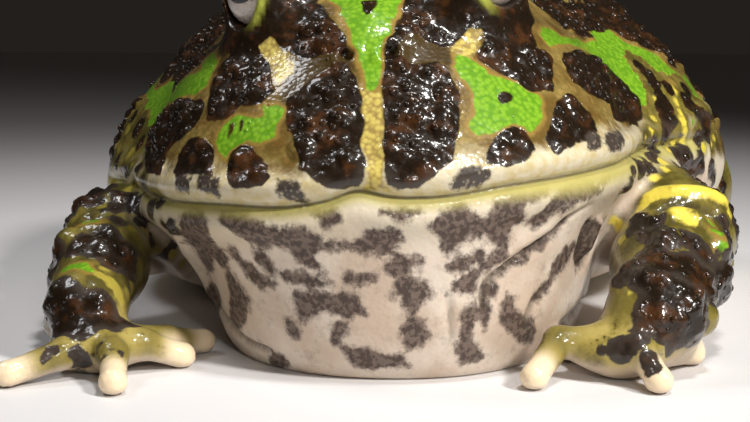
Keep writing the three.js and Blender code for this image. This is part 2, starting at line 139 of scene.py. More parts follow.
def makeStudio():
    world = bpy.data.worlds.new("studio")
    world.use_nodes = True
    world.node_tree.nodes["Background"].inputs[0].default_value = (*studio["surround"], 1)
    bpy.context.scene.world = world
    areaLight("key", (1, 0.97, 0.93))
    areaLight("side", (0.96, 0.97, 1.0))
    areaLight("top", (1, 0.99, 0.97))
    areaLight("front", (1, 0.98, 0.95))
    mesh = bpy.data.meshes.new("floor")
    half = studio["floorHalf"]
    mesh.from_pydata([(-half, -half, 0), (half, -half, 0), (half, half, 0), (-half, half, 0)],
                     [], [(0, 1, 2, 3)])
    floor = addObject("floor", mesh)
    material = bpy.data.materials.new("pale floor")
    material.use_nodes = True
    tree = material.node_tree
    shader = tree.nodes["Principled BSDF"]
    coords = wire(tree, "ShaderNodeTexCoord")
    mottle = wire(tree, "ShaderNodeTexNoise", in_Vector=coords.outputs["Object"],
                  in_Scale=30.0, in_Detail=3.0)
    darker = [c * 0.97 for c in studio["floorColour"]]
    tone = mixColour(tree, mottle.outputs[0], studio["floorColour"], darker)
    tree.links.new(tone, shader.inputs["Base Color"])
    shader.inputs["Roughness"].default_value = studio["floorRoughness"]
    mesh.materials.append(material)
    settings = bpy.context.scene.view_settings
    settings.view_transform = "Standard"
    settings.exposure = studio["exposure"]


makeStudio()
say("camera and studio")

# The frog's form: one field in millimetres, negative inside, in the solids' own frame
frog = {
    "snoutToMiddle": 59.0, "headHalfWidth": 31.8, "mouthHeight": 21.0, "mouthDepth": 42.0,
    "bodyHalfWidth": 46.5, "bodyTop": 53.0, "rollDegrees": 4.5, "faceMiddle": 1.2,
    "eyeRadius": 4.4, "eyeAt": (13.3, -40.0, 44.2), "hornTipAt": (16.6, -38, 54.6),
    "boxMiddle": (-0.08, -4.7), "trunkBlend": 6.0, "limbBlend": 3.0, "lidBlend": 1.6,
}
rollCos = math.cos(math.radians(frog["rollDegrees"]))
rollSin = math.sin(math.radians(frog["rollDegrees"]))


# the trunk leans to one side; its own frame is upright
def toTrunk(p):
    x, y, z = p[:, 0], p[:, 1], p[:, 2]
    return np.stack([x * rollCos + z * rollSin, y, z * rollCos - x * rollSin], 1)


def fromTrunk(q):
    u, v, w = q
    return np.array([u * rollCos - w * rollSin, v, w * rollCos + u * rollSin])


# the solids' frame in millimetres to the scene's frame in metres
def toScene(points):
    return (points - np.array([*frog["boxMiddle"], 0])) / 1000


# joins two forms with a soft fillet of size k
def melt(a, b, k):
    h = np.maximum(k - np.abs(a - b), 0) / k
    return np.minimum(a, b) - h * h * k * 0.25


# cuts form b out of form a with a soft edge
def carve(a, b, k):
    return -melt(-a, b, k)


# a rounded block with its own reach each way; the powers make it squarer than an ellipsoid
def dome(p, at, half, front, back, up, down, plan=2.3, rise=2.1, fall=None):
    fall = rise if fall is None else fall
    x, y, z = p[:, 0] - at[0], p[:, 1] - at[1], p[:, 2] - at[2]
    length = np.where(y < 0, front, back)
    height = np.where(z > 0, up, down)
    n = np.where(z > 0, rise, fall)
    sx, sy, sz = np.abs(x) / half, np.abs(y) / length, np.abs(z) / height
    q = (sx ** plan + sy ** plan) ** (1 / plan) + 1e-6
    f = (q ** n + sz ** n) ** (1 / n)
    byRim = (q / f) ** (n - 1)
    slopeX = byRim * (sx / q) ** (plan - 1) / half
    slopeY = byRim * (sy / q) ** (plan - 1) / length
    slopeZ = (sz / f) ** (n - 1) / height
    return (f - 1) / np.sqrt(slopeX ** 2 + slopeY ** 2 + slopeZ ** 2)


def ball(p, at, radii):
    rx, ry, rz = radii
    x, y, z = (p[:, 0] - at[0]) / rx, (p[:, 1] - at[1]) / ry, (p[:, 2] - at[2]) / rz
    f = np.sqrt(x * x + y * y + z * z) + 1e-6
    return (f - 1) * f / np.sqrt((x / rx) ** 2 + (y / ry) ** 2 + (z / rz) ** 2 + 1e-12)


# a round bar from a to b with a radius for each end
def limb(p, a, b, ra, rb):
    a, b = np.array(a, float), np.array(b, float)
    ab = b - a
    t = np.clip((p - a) @ ab / (ab @ ab), 0, 1)
    return np.linalg.norm(p - a - t[:, None] * ab, axis=1) - ra - (rb - ra) * t


def union(parts, k):
    d = parts[0]
    for other in parts[1:]:
        d = melt(d, other, k)
    return d


# a smooth hump over the place "at", one at its top
def hump(x, at, wide):
    return np.exp(-((x - at) / wide) ** 2)


# works a form out only inside its box, which is given for the frog's left side
def near(p, side, low, high, make):
    low, high = np.array(low, float), np.array(high, float)
    if side < 0:
        low[0], high[0] = -high[0], -low[0]
    inBox = np.all((p > low) & (p < high), axis=1)
    d = np.full(len(p), 50.0)
    if inBox.any():
        d[inBox] = make(p[inBox])
    return d


# the limbs in millimetres: -1 is the frog's right side, 1 its left
shoulder = {-1: (-27, -19, 14.0), 1: (27, -19, 17.0)}
elbow = {-1: (-37.4, -31, 12), 1: (35.4, -31, 13)}
wrist = {-1: (-35.2, -50.4, 6.4), 1: (31.4, -48.4, 7)}
palm = {-1: (-32.6, -55.2, 3.1), 1: (27, -52, 3.3)}
upperArmRadius = {-1: 7.8, 1: 8}
forearmRadius = {-1: 5.7, 1: 6.9}
wristRadius = {-1: 4.4, 1: 5.4}
fingers = {
    -1: [((-25.6, -50.2, 2.6), (-22.6, -45.4, 1.4)), ((-27.2, -54.9, 3.2), (-23.2, -52.6, 1.4)),
         ((-29.2, -59.8, 3.2), (-27.7, -65.1, 1.4)), ((-35.2, -59.4, 2.9), (-40.2, -63.2, 1.4))],
    1: [((23.4, -48.2, 3.0), (21.4, -44.6, 1.4)), ((20.2, -52.8, 4.2), (17.4, -58.2, 1.4)),
        ((28.9, -54.9, 3.9), (30.8, -58.4, 1.4)), ((31.9, -49.4, 3.0), (35.8, -45.2, 1.4))],
}
digits = {"root": 2.4, "knuckle": 1.75, "bone": 1.7, "tip": 1.4, "pad": (1.5, 1.5, 1.45)}
leg = {"hip": (19, 41, 14), "knee": (39, 18, 13.5), "heel": (30, 48, 6.6), "ankle": (33, 34, 4.4)}
toes = [(9, 78), (13, 70), (18, 60), (22, 50), (14, 34)]  # length, and degrees turned from straight out


def legPoints(s):
    return [(s * x, y, z) for x, y, z in leg.values()]


def eyeAt(s):
    x, y, z = frog["eyeAt"]
    return np.array([frog["faceMiddle"] + s * x, y, z])


def hornTip(s):
    x, y, z = frog["hornTipAt"]
    return (frog["faceMiddle"] + s * x, y, z)


# height of the mouth's line: a notch up under the snout and a dip on each side of it
def mouthLine(u):
    return frog["mouthHeight"] + 0.9 * hump(u, 0, 2.6) - 0.45 * hump(np.abs(u), 9, 5)


def armForm(p, s):
    e, w = np.array(elbow[s], float), np.array(wrist[s], float)
    middle = e * 0.55 + w * 0.45
    return union([limb(p, shoulder[s], e, upperArmRadius[s], forearmRadius[s] + 0.3),
                  limb(p, e, middle, forearmRadius[s], forearmRadius[s]),
                  limb(p, middle, w, forearmRadius[s], wristRadius[s])], 1)


def handForm(p, s):
    pieces = [limb(p, wrist[s], palm[s], wristRadius[s] - 0.6, 3.2), ball(p, palm[s], (5.4, 4.2, 2.9))]
    for knuckle, tip in fingers[s]:
        pieces.append(union([limb(p, palm[s], knuckle, digits["root"], digits["knuckle"]),
                             limb(p, knuckle, tip, digits["bone"], digits["tip"]),
                             ball(p, tip, digits["pad"])], 0.6))
    return union(pieces, 1.3)


def footForm(p, s):
    heel, ankle = legPoints(s)[2:]
    spur = (ankle[0] - s * 4, ankle[1] + 1, 2.4)
    pieces = [limb(p, heel, ankle, 4.4, 3.8), ball(p, spur, (2.6, 3.4, 2.3))]
    for i, (length, turn) in enumerate(toes):
        a = math.radians(turn)
        root = (ankle[0] - s * 1.3 * (2 - i), ankle[1] - 1.4 * (2 - i), 3)
        tip = (root[0] + s * length * math.cos(a), root[1] - length * math.sin(a), 1.4)
        pieces.append(union([limb(p, root, tip, 2.5, 1.35), ball(p, tip, digits["pad"])], 0.5))
    return union(pieces, 1.2)


def limbForms(p, s):
    hip, knee, heel, ankle = legPoints(s)
    return [
        near(p, s, (8, -72, -6), (58, 4, 40), lambda q: armForm(q, s)),
        near(p, s, (8, -76, -6), (52, -36, 18), lambda q: handForm(q, s)),
        near(p, s, (-2, -4, -10), (64, 68, 42), lambda q: limb(q, hip, knee, 14, 10)),
        near(p, s, (10, 2, -10), (64, 66, 30),
             lambda q: limb(q, (knee[0] + s * 1.5, knee[1] + 3, 8.2), heel, 7.8, 6)),
        near(p, s, (14, 0, -8), (64, 62, 20), lambda q: footForm(q, s)),
    ]


# the trunk's soft masses in its own frame: middle and radii
masses = {
    "snout": ((0, -30, 36), (11, 20, 10)), "nape": ((0, -14, 36), (22, 22, 13)),
    "brow": ((12.2, -38, 42), (5.8, 8, 6)), "rump": ((0, 44, 13), (17, 13, 12)),
    "flank": ((29, -8, 20), (12, 15, 12)),
}
lips = {  # the two rolls and the slit between them: height from the mouth's line, width and swell
    "upper": (2.1, 1.6, 0.8), "lower": (-2.3, 1.7, 0.7), "slit": (0, 0.45, 0.75),
}


def mass(q, name, s=0, middle=0):
    (x, y, z), radii = masses[name]
    return ball(q, (middle + s * x, y, z), radii)


def trunkForm(q):
    middle, mouth, face = frog["mouthDepth"] - frog["snoutToMiddle"], frog["mouthHeight"], frog["faceMiddle"]
    half, depth = frog["headHalfWidth"], frog["mouthDepth"]
    head = union([
        dome(q, (0, middle, mouth), half, depth, 36, 24.5, 9, 2.3, 2.05),
        mass(q, "snout"), mass(q, "nape"), mass(q, "brow", -1, face), mass(q, "brow", 1, face),
    ], 5)
    jaw = union([
        dome(q, (0, middle, mouth), half - 1, depth - 0.9, 36, 7, 16.5, 2.3, 2.1, 1.9),
        dome(q, (1.2, -27, 12), 24.5, 32.5, 26, 12, 20, 2.2, 2.1, 2.6),
    ], 7)
    torso = union([
        dome(q, (0.5, 4, 17), frog["bodyHalfWidth"], 37, 50, frog["bodyTop"] - 17, 20.5, 2, 1.62, 2),
        mass(q, "rump"), mass(q, "flank", -1), mass(q, "flank", 1),
    ], 6)
    d = union([head, jaw, torso], frog["trunkBlend"])
    above = q[:, 2] - mouthLine(q[:, 0])
    upper, lower, slit = (swell * hump(above, at, wide) for at, wide, swell in lips.values())
    return d - np.clip((-12 - q[:, 1]) / 8, 0, 1) * (upper + lower - slit)


lids = {
    "radii": (5.6, 6.2, 5.2), "hornRoot": 3, "hornPoint": 0.5, "around": 0.55, "gap": 0.08,
    "look": (0.60, -0.76, -0.26), "openWide": 3.5, "openHigh": 2.8,
}
nostrils = {"apart": 2.4, "y": -50.9, "z": 36.2, "shape": (1.0, 1.6, 0.8), "rim": 0.35, "depth": 1.1}


def lidForm(q, s):
    u, v, w = eyeAt(s)
    hood = ball(q, (u - s * 0.9, v + 1.6, w + 1.1), lids["radii"])
    horn = limb(q, (u + s * 1.4, v + 1, w + 4.5), hornTip(s), lids["hornRoot"], lids["hornPoint"])
    return union([hood, horn], 2.5)


# distance to the almond through which the eye shows, seen along the way that it looks
def eyeOpening(q, s):
    look = np.array(lids["look"]) * (s, 1, 1)
    look /= np.linalg.norm(look)
    side = np.cross(look, (0, 0, 1.0))
    side /= np.linalg.norm(side)
    up = np.cross(side, look)
    r = q - eyeAt(s)
    x, y, z = r @ side / lids["openWide"], r @ up / lids["openHigh"], r @ look
    narrow = min(lids["openWide"], lids["openHigh"])
    return np.maximum((np.sqrt(x * x + y * y) - 1) * narrow, 1.0 - z)


def fromEye(q, s):
    return np.linalg.norm(q - eyeAt(s), axis=1)


# the whole frog but its eyeballs
def skinForm(p):
    q = toTrunk(p)
    d = trunkForm(q)
    for s in (-1, 1):
        d = melt(d, lidForm(q, s), frog["lidBlend"])
        d = melt(d, fromEye(q, s) - frog["eyeRadius"] - lids["around"], 1.2)
    for s in (-1, 1):
        for form in limbForms(p, s):
            d = melt(d, form, frog["limbBlend"])
    for s in (-1, 1):
        hole = fromEye(q, s) - frog["eyeRadius"] - lids["gap"]
        d = carve(d, np.minimum(hole, eyeOpening(q, s)), 0.5)
        nostril = q - np.array([frog["faceMiddle"] + s * nostrils["apart"], nostrils["y"], nostrils["z"]])
        reach = np.linalg.norm(nostril / np.array(nostrils["shape"]), axis=1)
        d = d - nostrils["rim"] * hump(reach, 1.5, 0.6) + nostrils["depth"] * hump(reach, 0, 0.8)
    return carve(d, p[:, 2] - 0.02, 0.5)


# A mesh of the form
skinGrid = {  # start, stop and step of each run of grid lines, in millimetres
    "x": [(-52, -34, 0.85), (-34, 34, 0.52), (34, 52, 0.85)],
    "y": [(-68.5, -36, 0.52), (-36, -16, 0.8), (-16, 60, 1.1)],
    "z": [(-1.2, 17, 0.65), (17, 25, 0.42), (25, 42, 0.62), (42, 58, 0.55)],
    "block": 6, "batch": 200000,  # cells to a side of a block, and points worked out at once
    "farOff": 9.0,  # the value where no skin is near
}


def gridLines(runs):
    rows = [np.linspace(a, b, max(2, int(round((b - a) / step)) + 1)) for a, b, step in runs]
    return np.unique(np.round(np.concatenate(rows), 5))


# values on the grid, worked out only in blocks that the surface may cross
def fieldOnGrid(xs, ys, zs, form, block):
    def blocks(line):
        ends = list(range(0, len(line) - 1, block)) + [len(line) - 1]
        middle = np.array([(line[a] + line[b]) / 2 for a, b in zip(ends, ends[1:])])
        half = np.array([(line[b] - line[a]) / 2 for a, b in zip(ends, ends[1:])])
        owner = np.minimum(np.arange(len(line)) // block, len(middle) - 1)
        return middle, half, owner
    bx, by, bz = blocks(xs), blocks(ys), blocks(zs)
    centres = np.stack(np.meshgrid(bx[0], by[0], bz[0], indexing="ij"), -1).reshape(-1, 3)
    reach = np.sqrt(bx[1][:, None, None] ** 2 + by[1][None, :, None] ** 2 + bz[1][None, None, :] ** 2)
    coarse = form(centres).reshape(reach.shape)
    active = np.abs(coarse) < reach * 1.5 + 1.6
    chosen = active[np.ix_(bx[2], by[2], bz[2])]
    values = np.where(coarse > 0, skinGrid["farOff"], -skinGrid["farOff"])[np.ix_(bx[2], by[2], bz[2])]
    i, j, k = np.nonzero(chosen)
    points = np.stack([xs[i], ys[j], zs[k]], 1)
    batch = skinGrid["batch"]
    values[i, j, k] = np.concatenate([form(points[a:a + batch]) for a in range(0, len(points), batch)])
    return values


# surface nets: one corner in each cell that the surface crosses, one quad round each crossed grid edge
def meshOfField(xs, ys, zs, values):
    inside = values < 0
    ny, nz = len(ys), len(zs)
    cellIds, crossings, quads = [], [], []
    for axis in range(3):
        first = [slice(None)] * 3
        second = [slice(None)] * 3
        first[axis], second[axis] = slice(None, -1), slice(1, None)
        at = np.argwhere(inside[tuple(first)] != inside[tuple(second)])
        step = np.zeros(3, int)
        step[axis] = 1
        a, b = values[tuple(at.T)], values[tuple((at + step).T)]
        line = (xs, ys, zs)[axis]
        point = np.stack([xs[at[:, 0]], ys[at[:, 1]], zs[at[:, 2]]], 1)
        point[:, axis] += a / (a - b) * (line[at[:, axis] + 1] - line[at[:, axis]])
        one, two = (axis + 1) % 3, (axis + 2) % 3
        ring = []
        for p, q in ((-1, -1), (0, -1), (0, 0), (-1, 0)):
            cell = at.copy()
            cell[:, one] += p
            cell[:, two] += q
            flat = (cell[:, 0] * ny + cell[:, 1]) * nz + cell[:, 2]
            ring.append(flat)
            cellIds.append(flat)
            crossings.append(point)
        ring = np.stack(ring, 1)
        ring[a > 0] = ring[a > 0][:, ::-1]
        quads.append(ring)
    cellIds, crossings, quads = np.concatenate(cellIds), np.concatenate(crossings), np.concatenate(quads)
    unique, place = np.unique(cellIds, return_inverse=True)
    count = np.bincount(place)
    corners = np.stack([np.bincount(place, crossings[:, c]) / count for c in range(3)], 1)
    return corners, np.searchsorted(unique, quads)


# moves corners onto the surface along the form's slope, and gives the slope's direction
def settle(points, form, rounds=2, longest=0.5):
    h = 0.05
    for _ in range(rounds):
        d = form(points)
        slope = np.stack([form(points + h * np.eye(3)[c]) - d for c in range(3)], 1) / h
        size = np.linalg.norm(slope, axis=1, keepdims=True) + 1e-9
        points = points - np.clip(d[:, None] / size, -longest, longest) * slope / size
    return points, slope / size


xs, ys, zs = (gridLines(skinGrid[axis]) for axis in "xyz")
values = fieldOnGrid(xs, ys, zs, skinForm, skinGrid["block"])
say(f"field on {values.size} points")
corners, quads = meshOfField(xs, ys, zs, values)
corners, outward = settle(corners, skinForm)
say(f"skin of {len(corners)} corners, {2 * len(quads)} triangles")


# Places on the frog that are given by their place in the photo
# where rays from outside first meet a form, and whether they do
def firstHit(origins, directions, form, start, longest, share):
    t = np.full(len(origins), float(start))
    going = np.arange(len(origins))
    while len(going):
        d = form(origins[going] + directions[going] * t[going, None])
        step = np.where(d > 0.02, np.clip(d * share, 0.02, 6), 0)
        t[going] += step
        going = going[(step > 0) & (t[going] < longest)]
    return origins + directions * t[:, None], t < longest


# the photo's eye in the solids' frame, and how far along a ray the frog is looked for
photoEye = np.array(viewPlace) * 1000 + np.array([*frog["boxMiddle"], 0])
rayReach = {"start": 90, "end": 330}


# pixels of the 750 x 422 photo to points in the solids' frame
def onFrog(pixels, form):
    px = np.array(pixels, float)
    side = np.array(viewAim.cross(Vector((0, 0, 1))).normalized())
    up = np.cross(side, np.array(viewAim))
    d = np.array(viewAim) * view["focalPixels"] + side * (px[:, :1] - view["frameWidth"] / 2) \
        + up * (view["frameHeight"] / 2 - px[:, 1:2])
    d /= np.linalg.norm(d, axis=1, keepdims=True)
    starts = np.repeat(photoEye[None], len(d), 0)
    return firstHit(starts, d, form, rayReach["start"], rayReach["end"], 0.7)


def trunkOnly(p):
    return trunkForm(toTrunk(p))


# Markings: outlines in the photo's pixels, thrown onto the trunk
faceMarks = {
    "dark": [  # blotches of the cheeks, brows and snout, and the nostrils' slits
        [(238, 35), (231, 54), (219, 67), (212, 86), (207, 102), (207, 118), (214, 123), (231, 114),
         (240, 107), (261, 103), (274, 91), (275, 80), (271, 70), (266, 59), (259, 48), (249, 39)],
        [(264, 2), (285, -8), (306, -3), (320, 5), (331, 13), (338, 24), (345, 38), (350, 50), (330, 55),
         (300, 58), (284, 49), (272, 36), (262, 28)],
        [(242, 142), (254, 145), (257, 155), (266, 166), (269, 178), (261, 187), (246, 189), (234, 186),
         (226, 175), (227, 162), (234, 150)],
        [(187, 141), (200, 135), (207, 141), (214, 151), (212, 166), (212, 178), (192, 174), (176, 179),
         (174, 170), (178, 154)],
        [(180, 100), (195, 98), (203, 104), (199, 120), (192, 131), (178, 141), (167, 151), (164, 167),
         (159, 177), (147, 173), (146, 158), (151, 138), (157, 120), (167, 108)],
        [(235, 23), (214, 25), (200, 39), (192, 54), (184, 64), (174, 75), (171, 80), (187, 74),
         (200, 64), (207, 54), (214, 43), (227, 33)],
        [(347, 63), (355, 75), (360, 86), (361, 102), (362, 120), (362, 142), (366, 159), (363, 174),
         (359, 186), (344, 191), (327, 189), (315, 183), (301, 171), (299, 154), (292, 137), (288, 118),
         (288, 99), (300, 87), (317, 75), (334, 64)],
        [(387, 48), (394, 52), (414, 63), (438, 63), (449, 70), (455, 83), (459, 96), (461, 114),
         (458, 126), (455, 133), (453, 146), (449, 161), (438, 173), (427, 182), (414, 190), (398, 190),
         (387, 183), (384, 169), (384, 147), (384, 120), (384, 80), (386, 60)],
        [(407, -6), (400, 16), (393, 30), (388, 42), (386, 54), (396, 50), (404, 38), (418, 36),
         (432, 42), (443, 48), (452, 46), (460, 38), (468, 30), (474, 18), (478, 0), (470, -8)],
        [(496, 21), (513, 14), (520, 18), (530, 25), (535, 36), (537, 48), (551, 60), (554, 76),
         (554, 91), (542, 93), (524, 87), (507, 76), (489, 67), (478, 62), (478, 50), (486, 34),
         (490, 24)],
        [(562, 52), (575, 52), (591, 56), (606, 64), (615, 74), (627, 84), (634, 95), (642, 107),
         (643, 116), (638, 126), (622, 123), (613, 119), (610, 104), (599, 97), (587, 93), (575, 84),
         (566, 70), (562, 60)],
        [(556, 98), (569, 97), (580, 102), (589, 112), (594, 123), (599, 133), (591, 142), (579, 140),
         (572, 146), (563, 153), (555, 156), (549, 149), (547, 133), (549, 119), (554, 107)],
        [(500, 130), (513, 126), (527, 130), (530, 140), (533, 151), (521, 160), (507, 167), (495, 166),
         (488, 163), (489, 150), (495, 139)],
        [(538, 0), (580, 0), (591, 11), (606, 21), (615, 28), (593, 32), (575, 32), (563, 28), (557, 18),
         (547, 8)],
        [(362, 0), (376, 0), (376, 12), (369, 16), (362, 11)],
        [(497, 99), (502, 94), (510, 94), (515, 99), (511, 105), (501, 105)],
        [(229, 122), (233, 124), (230, 138), (226, 137)],
        [(240, 120), (244, 121), (242, 131), (238, 130)],
    ],
    "brown": [  # darker ground between the blotches
        [(290, 62), (300, 54), (330, 52), (350, 46), (358, 64), (359, 78), (345, 68), (325, 76),
         (305, 88), (289, 102), (286, 116), (280, 104), (277, 92), (284, 82)],
        [(399, 34), (420, 34), (436, 42), (450, 48), (456, 60), (452, 74), (440, 66), (414, 66),
         (392, 56), (390, 44)],
        [(206, 58), (216, 50), (236, 24), (246, 34), (232, 52), (218, 66), (212, 84)],
    ],
    "grey": [  # small spots on the lip
        [(178, 180), (188, 181), (187, 187), (178, 187)],
        [(200, 181), (216, 183), (215, 189), (202, 188)],
        [(457, 182), (465, 174), (485, 170), (488, 174), (479, 181), (458, 184)],
        [(608, 136), (620, 135), (621, 146), (609, 147)],
        [(589, 137), (599, 136), (599, 146), (590, 147)],
        [(280, 183), (293, 186), (301, 197), (288, 198), (280, 191)],
    ],
    "green": [  # patches and streaks
        [(216, 131), (226, 120), (238, 114), (254, 118), (265, 115), (258, 106), (278, 104), (286, 110),
         (278, 123), (277, 135), (265, 141), (249, 138), (238, 145), (231, 151), (226, 159), (219, 150),
         (216, 142)],
        [(206, 58), (216, 51), (219, 59), (211, 75), (208, 86), (195, 94), (178, 98), (164, 107),
         (155, 116), (149, 114), (153, 104), (160, 95), (171, 84), (187, 76), (200, 71)],
        [(327, -15), (329, 0), (338, 8), (347, 27), (355, 44), (360, 60), (366, 78), (367, 94),
         (376, 91), (382, 80), (383, 60), (384, 44), (390, 31), (396, 13), (403, 0), (415, -18)],
        [(453, 56), (467, 55), (475, 64), (489, 73), (510, 80), (531, 90), (541, 95), (542, 112),
         (538, 129), (531, 132), (524, 126), (513, 123), (500, 128), (493, 135), (475, 136), (468, 126),
         (475, 109), (472, 90), (462, 76), (454, 66)],
        [(540, 25), (551, 28), (561, 36), (575, 38), (594, 42), (606, 38), (615, 42), (621, 52),
         (627, 66), (624, 73), (615, 67), (606, 59), (591, 50), (575, 46), (561, 45), (549, 46),
         (542, 36)],
    ],
    "yellow": [  # paler fields, and the foot of the snout's stripe
        [(254, 36), (267, 33), (278, 47), (293, 62), (290, 75), (279, 83), (274, 72), (265, 54),
         (254, 41)],
        [(481, 4), (492, 6), (493, 17), (488, 28), (479, 39), (476, 52), (472, 59), (454, 53), (450, 53),
         (455, 43), (467, 32), (474, 18), (478, 7)],
        [(361, 92), (384, 92), (384, 180), (390, 190), (362, 190), (368, 176), (366, 159), (362, 142),
         (362, 120)],
    ],
    "throat": [  # blotches of the throat, from the frog's right to its left
        [(187, 201), (203, 201), (205, 204), (204, 207), (198, 211), (189, 208)],
        [(180, 216), (191, 211), (201, 213), (206, 221), (208, 231), (212, 242), (214, 246), (203, 249),
         (196, 249), (187, 244), (183, 233), (179, 223)],
        [(198, 249), (214, 245), (222, 249), (228, 260), (228, 269), (222, 266), (214, 260), (212, 269),
         (207, 276), (204, 266), (199, 256)],
        [(225, 269), (230, 269), (234, 279), (244, 292), (249, 301), (246, 315), (241, 325), (237, 330),
         (230, 323), (230, 311), (231, 298), (228, 285)],
        [(211, 282), (215, 285), (220, 298), (220, 308), (218, 312), (213, 303), (210, 292)],
        [(218, 217), (223, 209), (233, 207), (239, 205), (249, 210), (249, 220), (254, 223), (268, 227),
         (278, 228), (293, 225), (303, 228), (309, 234), (322, 239), (338, 241), (357, 242), (357, 249),
         (333, 250), (319, 252), (313, 257), (324, 269), (319, 271), (306, 266), (293, 255), (282, 245),
         (271, 244), (268, 249), (262, 249), (252, 242), (239, 236), (230, 229), (223, 223)],
        [(255, 249), (262, 249), (262, 255), (271, 264), (281, 272), (303, 272), (316, 276), (329, 282),
         (325, 285), (309, 287), (293, 282), (281, 277), (268, 271), (258, 261), (254, 253)],
        [(230, 247), (234, 249), (239, 256), (249, 264), (258, 272), (271, 279), (276, 285), (268, 288),
         (258, 287), (249, 279), (242, 269), (236, 260), (230, 252)],
        [(263, 206), (268, 204), (273, 205), (277, 213), (272, 214), (267, 210)],
        [(313, 210), (319, 209), (341, 211), (342, 217), (341, 223), (332, 228), (327, 228), (319, 218),
         (313, 214)],
        [(356, 242), (362, 234), (373, 229), (397, 229), (402, 239), (397, 250), (381, 254), (373, 253),
         (364, 256), (357, 252)],
        [(381, 270), (388, 261), (399, 255), (415, 257), (422, 261), (415, 266), (402, 275), (391, 275)],
        [(340, 279), (346, 274), (356, 274), (373, 273), (375, 277), (372, 282), (360, 286), (351, 282)],
        [(293, 290), (298, 292), (317, 292), (341, 294), (354, 292), (360, 298), (365, 308), (368, 315),
         (354, 317), (338, 314), (322, 312), (311, 314), (303, 322), (298, 312), (295, 301)],
        [(284, 320), (293, 320), (299, 330), (297, 338), (289, 338), (285, 328)],
        [(332, 331), (337, 322), (344, 325), (344, 336), (340, 343), (335, 347), (331, 344)],
        [(271, 354), (281, 355), (287, 361), (284, 367), (272, 366)],
        [(341, 347), (351, 346), (370, 349), (381, 353), (402, 355), (409, 366), (381, 368), (356, 367),
         (352, 361)],
        [(381, 209), (406, 204), (420, 207), (420, 214), (411, 220), (400, 220), (388, 214)],
        [(429, 225), (438, 218), (449, 207), (459, 202), (470, 211), (479, 216), (488, 216), (495, 204),
         (497, 196), (506, 189), (518, 182), (525, 186), (527, 196), (525, 209), (524, 220), (513, 229),
         (507, 241), (504, 250), (495, 245), (486, 237), (477, 236), (466, 239), (459, 250), (447, 255),
         (440, 246), (438, 236)],
        [(527, 195), (534, 187), (547, 186), (547, 191), (538, 200), (529, 202)],
        [(529, 221), (541, 212), (550, 202), (559, 193), (570, 184), (584, 180), (597, 186), (602, 193),
         (584, 198), (566, 205), (550, 214), (540, 225), (532, 227)],
        [(575, 177), (586, 161), (589, 173), (584, 180), (577, 180)],
        [(597, 182), (607, 168), (617, 161), (615, 173), (604, 184)],
        [(447, 268), (456, 259), (470, 252), (484, 252), (486, 257), (470, 266), (454, 273)],
        [(449, 293), (454, 287), (463, 280), (470, 271), (481, 261), (495, 250), (506, 254), (502, 261),
         (488, 268), (479, 275), (474, 293), (466, 295), (459, 289), (452, 295)],
        [(391, 291), (406, 279), (425, 278), (429, 286), (432, 295), (422, 300), (422, 307), (413, 316),
         (407, 305), (399, 298)],
        [(402, 345), (404, 330), (413, 318), (425, 323), (427, 337), (420, 345), (411, 350)],
        [(461, 321), (466, 307), (475, 305), (481, 311), (475, 321), (472, 339), (477, 348), (483, 357),
         (477, 363), (461, 364), (456, 352), (459, 336)],
        [(486, 286), (495, 284), (495, 293), (486, 305), (490, 307), (489, 316), (486, 329), (483, 321),
         (483, 311)],
        [(502, 316), (502, 302), (507, 293), (515, 298), (515, 312), (522, 320), (531, 321), (534, 330),
         (531, 343), (522, 341), (506, 330)],
        [(495, 275), (506, 264), (524, 254), (540, 239), (556, 225), (563, 216), (568, 220), (557, 234),
         (541, 248), (527, 259), (513, 266), (500, 275)],
        [(549, 273), (556, 259), (565, 248), (574, 243), (575, 250), (568, 262), (559, 273), (550, 279)],
        [(531, 302), (536, 293), (545, 284), (552, 280), (549, 291), (538, 304)],
        # this last outline is painted shade in the fold at the throat's right side, not a blotch
        [(577, 273), (575, 257), (582, 230), (588, 222), (596, 222), (596, 235), (592, 250), (586, 262)],
    ],
}


# how far inside a closed outline each point lies, negative outside
def insideOutline(x, y, outline):
    best = np.full(len(x), 1e9)
    odd = np.zeros(len(x), bool)
    for (ax, ay), (bx, by) in zip(outline, np.roll(outline, -1, 0)):
        ex, ey = bx - ax, by - ay
        t = np.clip(((x - ax) * ex + (y - ay) * ey) / (ex * ex + ey * ey + 1e-9), 0, 1)
        best = np.minimum(best, np.hypot(x - ax - t * ex, y - ay - t * ey))
        crosses = (ay > y) != (by > y)
        odd ^= crosses & (x < ax + (y - ay) * ex / (ey if abs(ey) > 1e-9 else 1e-9))
    return np.where(odd, best, -best)


headMiddle = (0, -25, 15)


# degrees round the head's middle, to the frog's left and up, and the distance from it
def facing(q):
    u, v, w = (q[:, c] - headMiddle[c] for c in range(3))
    turned, raised = np.arctan2(u, -v), np.arctan2(w, np.hypot(u, v))
    return np.degrees(turned), np.degrees(raised), np.sqrt(u * u + v * v + w * w)


# the outlines as seen from the head's middle, so that they lie on the skin and not on a view
def throwOutlines():
    listed = [(group, shape) for group, shapes in faceMarks.items() for shape in shapes]
    points, met = onFrog([corner for _, shape in listed for corner in shape], trunkOnly)
    phi, theta, _ = facing(toTrunk(points))
    seen = {group: [] for group in faceMarks}
    start = 0
    for group, shape in listed:
        kept = np.arange(start, start + len(shape))[met[start:start + len(shape)]]
        seen[group].append(np.stack([phi[kept], theta[kept]], 1))
        start += len(shape)
    return seen


outlines = throwOutlines()


